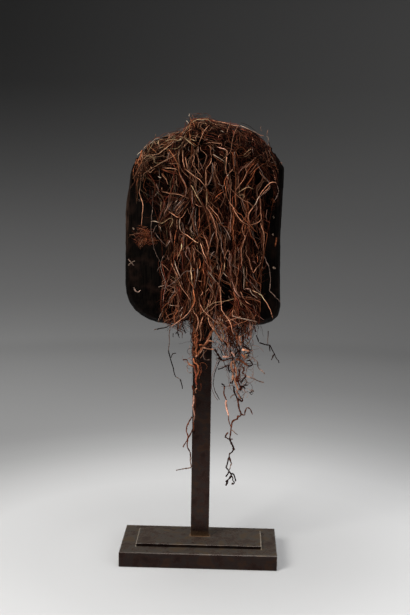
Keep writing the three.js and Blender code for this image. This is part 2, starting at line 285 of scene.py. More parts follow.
def blackenedSteel():
    material, tree = newMaterial("oiledBlackenedSteel")
    surface = addNode(tree, "NewGeometry")
    place, smooth = surface.outputs["Position"], surface.outputs["Normal"]
    clouds = addNode(tree, "TexNoise", {"Vector": place, "Scale": grainOf(steel["clouds"]), "Detail": 5.0,
                                        "Roughness": 0.6})
    specks = addNode(tree, "TexNoise", {"Vector": place, "Scale": grainOf(steel["specks"]), "Detail": 3.0})
    rolled = addNode(tree, "Mapping", {"Vector": place, "Scale": (0.04, 1, 1)})
    lines = addNode(tree, "TexNoise", {"Vector": rolled, "Scale": grainOf(steel["rollLines"]), "Detail": 2.0})
    normal = addNode(tree, "SeparateXYZ", {"Vector": surface.outputs["True Normal"]})
    axes = addNode(tree, "SeparateXYZ", {"Vector": place})
    height = axes.outputs["Z"]
    footX, footY = outsideOf(tree, axes, millimetres(steel["foot"]))
    fromFoot = addNode(tree, "Math", {0: footX, 1: footY}, operation="MAXIMUM")
    (x0, y0, _), (x1, y1, _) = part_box("stand_step_plate")
    plateX, plateY = outsideOf(tree, axes, ((x0 + x1) / 2, (y0 + y1) / 2, (x1 - x0) / 2, (y1 - y0) / 2))
    fromSide = addNode(tree, "Math", {0: plateX}, operation="ABSOLUTE")
    rounded = addNode(tree, "Bevel", {"Radius": steel["edgeRadius"] * mm}, samples=6)
    along = addNode(tree, "VectorMath", {0: rounded, 1: smooth}, operation="DOT_PRODUCT")
    # each share: its source, the two values it runs between there, and what they become if not 0 and 1
    share = {name: addNode(tree, "MapRange", dict(enumerate(values))) for name, values in dict(
        level=(normal.outputs["Z"], 0.5, 0.9),
        nearFoot=(fromFoot, *millimetres(steel["weldReach"])),
        low=(height, *millimetres(steel["weldTop"])),
        atSide=(fromSide, *millimetres(steel["pasteReach"])),
        inLength=(plateY, *millimetres(steel["pasteEnd"])),
        streaky=(specks, 0.3, 0.6, 0.25, 1.0),
        edge=(along, 0.995, 0.85),
        patchy=(clouds, 0.42, 0.62),
        rolling=(lines, 0.3, 0.7, 0.88, 1.12),
        paintedFloorReflection=(height, *millimetres(steel["paintedReflectionHeights"]), 0.5, 1.9),     # a painted reflection of the floor, lighter toward the bar's foot
        plate=(height, *millimetres(steel["plateHeights"]), 1.0, 0.68),
        gloss=(clouds, 0.3, 0.7, 0.22, 0.36)).items()}
    # toning: rolling lines, times the painted floor reflection that grows toward the bar's foot, times the
    # base and plate toned down
    for name, one, other in (("weld", "nearFoot", "low"), ("weld", "weld", 0.8), ("bright", "edge", "patchy"),
                             ("paste", "atSide", "inLength"), ("paste", "paste", "streaky"),
                             ("toningAndPaintedReflection", "rolling", "paintedFloorReflection"), ("toningAndPaintedReflection", "toningAndPaintedReflection", "plate")):
        share[name] = addNode(tree, "Math", {0: share[one], 1: share.get(other, other)}, operation="MULTIPLY")
    upright, level = (addNode(tree, "ValToRGB", {"Fac": clouds}, list(zip(steel["tones"], steel[side])))
                      for side in ("upright", "level"))
    # over the oiled skin: the pale weld bead round the bar's foot, a line of polishing paste left along both
    # sides of the step plate, and edges rubbed to bare metal in patches
    # faces that look up take the lighter tones: dusty oxide and painted light from above
    colour = addNode(tree, "Mix", {0: share["level"], 6: upright, 7: level}, data_type="RGBA")
    for name in ("weld", "paste", "bright"):
        over = hexColour(steel[name])
        colour = addNode(tree, "Mix", {0: share[name], 6: colour, 7: over}, data_type="RGBA")
    toned = addNode(tree, "VectorMath", {0: colour, "Scale": share["toningAndPaintedReflection"]}, operation="SCALE")
    metallic = addNode(tree, "MapRange", {"Value": share["level"], "To Min": 0.9, "To Max": 0.15})
    relief = addNode(tree, "Bump", {"Height": specks, "Strength": 0.2, "Distance": 0.12 * mm})
    finish = addNode(tree, "BsdfPrincipled", {"Base Color": toned, "Metallic": metallic,
                                              "Roughness": share["gloss"], "Normal": relief})
    addNode(tree, "OutputMaterial", {"Surface": finish})
    return material


steelFinish = blackenedSteel()
for name in ("stand_base", "stand_step_plate", "stand_post"):
    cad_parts[name].data.materials.clear()
    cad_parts[name].data.materials.append(steelFinish)
print("stand finished")


# Smooth random fields and curves, all seeded

def valueNoise(points, size, seed):
    # a smooth field between -1 and 1, with lumps `size` mm across
    side = 24
    lattice = np.random.default_rng(seed).uniform(-1, 1, (side, side, side))
    place = points / np.asarray(size, float)
    cell = np.floor(place).astype(int)
    share = place - cell
    share = share * share * (3 - 2 * share)
    total = np.zeros(len(points))
    for corner in np.ndindex(2, 2, 2):
        weight = np.prod(np.where(corner, share, 1 - share), axis=1)
        i, j, k = ((cell + corner) % side).T
        total += weight * lattice[i, j, k]
    return total


def splineWeights(knots, steps):
    # uniform cubic spline: how much each knot counts at each step
    t = np.linspace(0, knots - 3, steps)
    first = np.minimum(t.astype(int), knots - 4)
    f = t - first
    weights = np.zeros((steps, knots))
    parts = ((1 - f) ** 3 / 6, (3 * f**3 - 6 * f**2 + 4) / 6,
             (-3 * f**3 + 3 * f**2 + 3 * f + 1) / 6, f**3 / 6)
    for k, part in enumerate(parts):
        weights[np.arange(steps), first + k] += part
    return weights


def wander(rng, count, steps, knots, reach, axes=3):
    # for each strand, a smooth random curve of offsets, about `reach` mm either way
    free = rng.normal(size=(count, knots, axes))
    return np.einsum("sk,nka->nsa", splineWeights(knots, steps), free) * reach


def smoothRoute(corners, steps):
    # a smooth line through the corners, its steps evenly spaced
    corners = np.asarray(corners, float)
    padded = np.vstack([2 * corners[0] - corners[1], corners, 2 * corners[-1] - corners[-2]])
    fine = []
    for a, b, c, d in zip(padded, padded[1:], padded[2:], padded[3:]):
        t = np.linspace(0, 1, 12, endpoint=False)[:, None]
        fine.append(0.5 * (2 * b + (c - a) * t + (2 * a - 5 * b + 4 * c - d) * t**2
                           + (3 * b - a - 3 * c + d) * t**3))
    fine = np.vstack(fine + [corners[-1:]])
    run = np.r_[0, np.cumsum(np.linalg.norm(np.diff(fine, axis=0), axis=1))]
    ways = np.linspace(0, run[-1], steps)
    return np.stack([np.interp(ways, run, fine[:, axis]) for axis in range(fine.shape[1])], axis=1)


# Carved mask: hardwood, adzed to shape and blackened over fire, rubbed brown where hands and fixings rub,
# and painted lighter where its left side and rounded edges catch light

mask = dict(
    voxel=1.48, faceCut=13, faceDepth=0.5, grainWide=2.4, grainTall=34, grainDepth=0.16,
    gougeWide=8.5, gougeTall=46, gougeDepth=0.75, sway=40, chip=6, chipDepth=0.7,
    rimFrom=-9,    # the rim is the part of the shell behind this y
    # the two rubbed-wood colours stand for rubbed wood and painted light together
    black="020101", soot="0a0705", smudge="1b110d", wornAndLit="34231b", wornPaleAndLit="4f3c30", bare="241811",
    pores=1.6, clouds=17, scuffs=4,
    wornAndLitEdge=(-95, -101), wornAndLitFrom=(418, 450),    # the left edge is rubbed brown above the holes and painted lighter there, as lit from the left
)


def appliedCopy(source, name, voxel):
    # the CAD solid's shape as an even, dense mesh
    copy = bpy.data.objects.new(name, source.data.copy())
    bpy.context.collection.objects.link(copy)
    remesh = copy.modifiers.new("remesh", "REMESH")
    remesh.mode = "VOXEL"
    remesh.voxel_size = voxel * mm
    smooth = copy.modifiers.new("smooth", "SMOOTH")
    smooth.factor = 0.5
    smooth.iterations = 2
    mesh = bpy.data.meshes.new_from_object(copy.evaluated_get(bpy.context.evaluated_depsgraph_get()))
    bpy.data.objects.remove(copy)
    mesh.name = name
    return mesh


def readMesh(mesh):
    points = np.empty(len(mesh.vertices) * 3, np.float32)
    normals = np.empty_like(points)
    mesh.vertices.foreach_get("co", points)
    mesh.vertices.foreach_get("normal", normals)
    return points.reshape(-1, 3).astype(float) / mm, normals.reshape(-1, 3).astype(float)


def writeMesh(mesh, points):
    mesh.vertices.foreach_set("co", (points * mm).astype(np.float32).ravel())
    mesh.polygons.foreach_set("use_smooth", [True] * len(mesh.polygons))
    mesh.update()


def carveMask(mesh):
    points, normals = readMesh(mesh)
    inside = np.clip(normals[:, 1] * 2 + 0.2, 0, 1) * (points[:, 1] < -2)
    cut = np.abs(valueNoise(points, mask["faceCut"], 11))
    cut += 0.4 * np.abs(valueNoise(points, mask["faceCut"] / 2, 12))
    grain = valueNoise(points, (mask["grainWide"], mask["grainWide"], mask["grainTall"]), 13)
    sway = 1.6 * valueNoise(points, mask["sway"], 14)
    gouge = np.abs(np.sin(points[:, 0] / mask["gougeWide"] * math.pi + sway))
    gouge += 0.7 * valueNoise(points, (mask["gougeWide"], mask["gougeWide"], mask["gougeTall"]), 15)
    rim = np.clip((points[:, 1] - mask["rimFrom"]) / 9, 0, 1)
    chip = np.clip(valueNoise(points, mask["chip"], 16) - 0.45, 0, 1)
    depth = (1 - inside) * (mask["faceDepth"] * (0.35 - cut) + mask["grainDepth"] * grain)
    depth += inside * mask["gougeDepth"] * (0.4 - gouge) - rim * chip * mask["chipDepth"]
    writeMesh(mesh, points + normals * depth[:, None])


def charredWood():
    material, tree = newMaterial("fireBlackenedHardwood")
    place = addNode(tree, "TexCoord").outputs["Object"]
    stretched = addNode(tree, "Mapping", {"Vector": place, "Scale": (1, 1, 0.07)})
    grain = addNode(tree, "TexNoise", {"Vector": stretched, "Scale": grainOf(mask["pores"]), "Detail": 4.0,
                                       "Roughness": 0.6})
    clouds = addNode(tree, "TexNoise", {"Vector": place, "Scale": grainOf(mask["clouds"]), "Detail": 4.0})
    scuffs = addNode(tree, "TexNoise", {"Vector": place, "Scale": grainOf(mask["scuffs"]), "Detail": 5.0,
                                        "Roughness": 0.7})
    grained = addNode(tree, "ValToRGB", {"Fac": grain}, [(0.38, mask["black"]), (0.62, mask["soot"])])
    axes = addNode(tree, "SeparateXYZ", {"Vector": place})
    geometry = addNode(tree, "NewGeometry")
    facing = addNode(tree, "SeparateXYZ", {"Vector": geometry.outputs["Normal"]})
    share = {name: addNode(tree, "MapRange", dict(enumerate(values))) for name, values in dict(
        smudge=(clouds, 0.5, 0.72, 0, 0.8),
        leftEdge=(axes.outputs["X"], *millimetres(mask["wornAndLitEdge"])),
        high=(axes.outputs["Z"], *millimetres(mask["wornAndLitFrom"])),
        streaks=(grain, 0.42, 0.62),
        edge=(geometry.outputs["Pointiness"], 0.53, 0.6),
        patchy=(scuffs, 0.42, 0.6),
        behind=(facing.outputs["Y"], 0.05, 0.5),
        clean=(clouds, 0.35, 0.6, 0.35, 1.0),
        gloss=(scuffs, 0.3, 0.7, 0.5, 0.78)).items()}
    # the left band and the rim's rounded edges are rubbed wood with painted light: the band as lit from the
    # left, the rim as lit from the floor
    for name, one, other in (("band", "leftEdge", "high"), ("band", "band", "streaks"),
                             ("rim", "edge", "patchy"), ("bare", "behind", "clean")):
        share[name] = addNode(tree, "Math", {0: share[one], 1: share[other]}, operation="MULTIPLY")
    share["wornAndLit"] = addNode(tree, "Math", {0: share["band"], 1: share["rim"]},
                            operation="MAXIMUM", use_clamp=True)
    wornAndLitWood = addNode(tree, "Mix", {0: share["patchy"], 6: hexColour(mask["wornAndLit"]),
                                     7: hexColour(mask["wornPaleAndLit"])}, data_type="RGBA")
    # over the grain: smudges of soot, bare wood in the hollow, and rubbed edges whose colour is also a
    # painted highlight on the left side and the rounded rim
    colour = grained
    smudge, bare = (hexColour(mask[name]) for name in ("smudge", "bare"))
    for name, over in (("smudge", smudge), ("bare", bare), ("wornAndLit", wornAndLitWood)):
        colour = addNode(tree, "Mix", {0: share[name], 6: colour, 7: over}, data_type="RGBA")
    relief = addNode(tree, "Bump", {"Height": grain, "Strength": 0.5, "Distance": 0.35 * mm})
    finish = addNode(tree, "BsdfPrincipled", {"Base Color": colour, "Roughness": share["gloss"],
                                              "Specular IOR Level": 0.015, "Normal": relief})
    addNode(tree, "OutputMaterial", {"Surface": finish})
    return material


maskMesh = appliedCopy(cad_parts["mask_face"], "carvedMask", mask["voxel"])
carveMask(maskMesh)
addPiece("carvedMask", maskMesh, charredWood(), "charred_wood", "mask_face")
maskTree = BVHTree.FromPolygons([tuple(v.co / mm) for v in maskMesh.vertices],
                                [tuple(p.vertices) for p in maskMesh.polygons])
print("mask carved:", len(maskMesh.polygons), "faces")


# Roots. A batch holds strands with the same number of points: line, radius, colour and number of sides.

rootColours = dict(dark="1e0e09", brown="462316", red="5c2a1d", orange="844b30", tan="966850",
                   straw="8c7054", grey="6e5a50", pale="a78d7a", pink="8c6657")


def paint(rng, count, steps, mix, vary=0.35, depth=None):
    # each strand takes one colour of the mix, a good deal lighter or darker, and mottled along its length;
    # what lies deep, where depth is near 0, is darker: sooty and dusty, and painted shade from the strands
    # over it
    names = list(mix)
    share = np.array([mix[n] for n in names], float)
    choice = rng.choice(len(names), size=count, p=share / share.sum())
    base = np.array([hexColour(rootColours[n])[:3] for n in names])[choice]
    level = np.exp(rng.normal(0, vary, count))[:, None] * np.exp(rng.normal(0, 0.25, (count, steps)))
    if depth is not None:
        # painted shade, with soot, for strands that lie deep
        level = level * (0.12 + 0.88 * np.clip(depth, 0, 1) ** 1.8)
    return base[:, None, :] * np.minimum(level, 0.33 / base.max(axis=1)[:, None])[:, :, None]


def taper(rng, count, steps, thick, thin, tip):
    # most strands are thin and a few are thick; tip is the share of the radius left at the end
    start = thin + (thick - thin) * rng.beta(1.2, 2.6, count)[:, None]
    t = np.linspace(0, 1, steps)[None, :]
    knobs = 1 + 0.13 * rng.normal(size=(count, steps))
    return start * (1 - (1 - tip) * t) * np.clip(knobs, 0.75, 1.4)


def tubes(line, radius, colour, sides):
    # closed tubes round the lines: vertices, faces and a colour for each vertex
    count, steps, _ = line.shape
    along = np.gradient(line, axis=1)
    along /= np.linalg.norm(along, axis=2, keepdims=True) + 1e-9
    helper = np.where(np.abs(along[:, 0, 1:2]) > 0.9, (1.0, 0, 0), (0, 1.0, 0))
    normal = np.cross(along[:, 0], helper)
    normal /= np.linalg.norm(normal, axis=1, keepdims=True)
    normals = np.empty_like(line)
    normals[:, 0] = normal
    for i in range(1, steps):
        # keeps the section from twisting along the strand
        last, way = normals[:, i - 1], along[:, i]
        bend = last - way * np.sum(last * way, axis=1, keepdims=True)
        normals[:, i] = bend / (np.linalg.norm(bend, axis=1, keepdims=True) + 1e-9)
    sideways = np.cross(along, normals)
    angle = np.arange(sides) / sides * 2 * math.pi
    rings = (normals[:, :, None, :] * np.cos(angle)[None, None, :, None]
             + sideways[:, :, None, :] * np.sin(angle)[None, None, :, None])
    vertices = line[:, :, None, :] + rings * radius[:, :, None, None]
    index = np.arange(count * steps * sides).reshape(count, steps, sides)
    low, high = index[:, :-1], index[:, 1:]
    quads = np.stack([low, np.roll(low, -1, 2), np.roll(high, -1, 2), high], axis=3).reshape(-1, 4)
    ends = np.concatenate([index[:, 0, ::-1], index[:, -1]])
    shades = np.repeat(colour[:, :, None, :], sides, axis=2)
    return vertices.reshape(-1, 3), quads, ends, shades.reshape(-1, 3)


def strandMesh(name, batches):
    vertices, loops, starts, shades = [], [], [], []
    offset = used = 0
    for line, radius, colour, sides in batches:
        points, quads, ends, shade = tubes(line, radius, colour, sides)
        for faces in (quads, ends):
            loops.append((faces + offset).ravel())
            starts.append(used + np.arange(len(faces)) * faces.shape[1])
            used += faces.size
        vertices.append(points)
        shades.append(shade)
        offset += len(points)
    vertices, loops, starts, shades = map(np.concatenate, (vertices, loops, starts, shades))
    mesh = bpy.data.meshes.new(name)
    mesh.vertices.add(len(vertices))
    mesh.vertices.foreach_set("co", (vertices * mm).astype(np.float32).ravel())
    mesh.loops.add(len(loops))
    mesh.loops.foreach_set("vertex_index", loops.astype(np.int32))
    mesh.polygons.add(len(starts))
    mesh.polygons.foreach_set("loop_start", starts.astype(np.int32))
    mesh.polygons.foreach_set("use_smooth", [True] * len(starts))
    mesh.update(calc_edges=True)
    mesh.validate()
    paintwork = np.ones((len(vertices), 4), np.float32)
    paintwork[:, :3] = np.clip(shades, 0, 0.9)
    mesh.attributes.new("rootColour", "FLOAT_COLOR", "POINT").data.foreach_set("color", paintwork.ravel())
    return mesh


def dryRoot():
    # air-dried root bark: matt, fibrous, lighter where the bark has rubbed off
    material, tree = newMaterial("airDriedRoot")
    place = addNode(tree, "TexCoord").outputs["Object"]
    bark = addNode(tree, "TexNoise", {"Vector": place, "Scale": grainOf(2.0), "Detail": 4.0,
                                      "Roughness": 0.65})
    rubbed = addNode(tree, "MapRange", {"Value": bark, "From Min": 0.3, "From Max": 0.7, "To Min": 0.6,
                                        "To Max": 1.5})
    colour = addNode(tree, "VectorMath", {0: addNode(tree, "Attribute", attribute_name="rootColour"),
                                          "Scale": rubbed}, operation="SCALE")
    relief = addNode(tree, "Bump", {"Height": bark, "Strength": 0.5, "Distance": 0.3 * mm})
    finish = addNode(tree, "BsdfPrincipled", {"Base Color": colour, "Roughness": 0.6,
                                              "Specular IOR Level": 0.03, "Normal": relief})
    addNode(tree, "OutputMaterial", {"Surface": finish})
    return material


rootFinish = dryRoot()


# The surfaces that the roots lie on and fill out to, read from the solids

laying = dict(
    step=2.0, acrossX=(-112, 113), deepY=(-70, 60), tallZ=(320, 612),    # the grids surfaces are read over
    farFront=-150, farAbove=700,    # where lines of sight start, well clear of the object
    front=-80,                      # the roots' front, nearly 2 mm inside the solids
    foot=334,                       # the mask's lower edge
    fallBack=0.22,                  # how fast a hanging strand falls back once it has left the face
    overEdge=6,                     # a strand this far behind the face lies on the mask's top
    crownMiddle=-27.5, crownFoot=534, crownAcross=(-100, 101),
    rowHeight=9,
)
gridX, gridY, gridZ = (np.arange(*laying[way], laying["step"]) for way in ("acrossX", "deepY", "tallZ"))
ahead, downward = Vector((0, 1, 0)), Vector((0, 0, -1))


def treeOf(*names):
    vertices, polygons = [], []
    for name in names:
        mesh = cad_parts[name].data
        offset = len(vertices)
        vertices += [tuple(v.co / mm) for v in mesh.vertices]
        polygons += [tuple(offset + i for i in p.vertices) for p in mesh.polygons]
    return BVHTree.FromPolygons(vertices, polygons)


def frontOf(missing, *names):
    # the y of the first surface met from the front, over the grid
    tree = treeOf(*names)
    hits = [[tree.ray_cast(Vector((x, laying["farFront"], z)), ahead)[0] for z in gridZ] for x in gridX]
    return np.array([[missing if hit is None else hit.y for hit in row] for row in hits], float)


def topOf(missing, name, across, deep):
    # the z of the first surface met from above
    tree = treeOf(name)
    hits = [[tree.ray_cast(Vector((x, y, laying["farAbove"])), downward)[0] for y in deep] for x in across]
    return np.array([[missing if hit is None else hit.z for hit in row] for row in hits], float)


def onGrid(heights, x, z, rows=gridZ):
    # value of a height grid at any place, blended between its points
    i = np.clip((x - gridX[0]) / laying["step"], 0, len(gridX) - 1.001)
    j = np.clip((z - rows[0]) / laying["step"], 0, len(rows) - 1.001)
    a, b = i.astype(int), j.astype(int)
    f, g = i - a, j - b
    low = heights[a, b] * (1 - f) + heights[a + 1, b] * f
    high = heights[a, b + 1] * (1 - f) + heights[a + 1, b + 1] * f
    return low * (1 - g) + high * g


faceFront = frontOf(-22, "mask_face")
hullFront = np.minimum(frontOf(0, "root_crown", "root_curtain"), faceFront - 4)
maskTop = topOf(300, "mask_face", gridX, gridY)
crownX = np.arange(*laying["crownAcross"], 4.0)
crownTop = topOf(laying["crownFoot"], "root_crown", crownX, [laying["crownMiddle"]])[:, 0]
maskPoints = np.array([tuple(v.co / mm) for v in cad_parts["mask_face"].data.vertices])
maskRows = [maskPoints[np.abs(maskPoints[:, 2] - z) < laying["rowHeight"], 0] for z in gridZ]
maskLeft = np.array([row.min(initial=0) for row in maskRows])
maskRight = np.array([row.max(initial=0) for row in maskRows])
print("solids measured")


# Tone over the object: how light and how warm the roots are at these heights, each at these places across

tone = dict(heights=(350, 465, 560), across=(-60, 0, 60),
            level=((1.06, 0.98, 1.06), (0.68, 0.68, 0.78), (0.68, 0.78, 0.68)),
            warmth=((1.0, 1.02, 1.05), (0.97, 0.97, 1.0), (0.68, 0.86, 1.06)))


def toned(line, colour):
    # the left shoulder is paler and yellower, the right one darker and redder
    row = np.clip(np.interp(line[..., 2], tone["heights"], (0, 1, 2)), 0, 1.999)
    column = np.clip(np.interp(line[..., 0], tone["across"], (0, 1, 2)), 0, 1.999)
    i, j = row.astype(int), column.astype(int)
    f, g = row - i, column - j
    level, warmth = (((table[i, j] * (1 - f) + table[i + 1, j] * f) * (1 - g)
                      + (table[i, j + 1] * (1 - f) + table[i + 1, j + 1] * f) * g)
                     for table in (np.array(tone["level"]), np.array(tone["warmth"])))
    return colour * level[..., None] * np.stack([np.ones_like(warmth), warmth**-0.5, warmth**-0.55], axis=-1)


def layered(x, z, layer):
    # y of a strand that lies between the face (layer 0) and the outside of the roots (layer 1)
    face = onGrid(faceFront, x, z)
    y = face + (onGrid(hullFront, x, z) - face) * layer
    for i in range(1, y.shape[1]):
        drop = np.abs(z[:, i] - z[:, i - 1]) * laying["fallBack"]
        y[:, i] = np.minimum(y[:, i], y[:, i - 1] + drop)
    return np.maximum(y, laying["front"])


def overTop(line):
    # which points lie on the mask's top rather than its front, and the height of the wood there
    x, y, z = np.moveaxis(line, 2, 0)
    return y > onGrid(faceFront, x, z) + laying["overEdge"], onGrid(maskTop, x, y, gridY)


def keepOff(line, gap):
    # brings points that would go into the mask back out in front of it, or up on top of it
    face = onGrid(faceFront, line[..., 0], line[..., 2])
    behind, top = overTop(line)
    line[..., 2] = np.where(behind, np.maximum(line[..., 2], top + gap), line[..., 2])
    before = (line[..., 2] > laying["foot"]) & ~behind
    line[..., 1] = np.where(before, np.minimum(line[..., 1], face - gap), line[..., 1])
    line[..., 1] = np.maximum(line[..., 1], laying["front"] - 2)


def cutShort(line, keep):
    # keeps the first part of each strand, a share `keep` of it, on as many points as before
    t = np.linspace(0, 1, line.shape[1])
    for n, share in enumerate(keep):
        line[n] = np.stack([np.interp(t * share, t, line[n, :, axis]) for axis in range(3)], axis=1)
    return line


def cutBelow(line, heights):
    # ends each strand where it first passes under its own height
    under = line[..., 2] < heights[:, None]
    first = np.where(under.any(axis=1), under.argmax(axis=1), line.shape[1] - 1)
    return cutShort(line, np.maximum(first, 3) / (line.shape[1] - 1))


# Roots drawn one by one, in the places where the photograph shows them. Each has its radius, its colour and
# the x and z of its bends, and a stroke ends it.

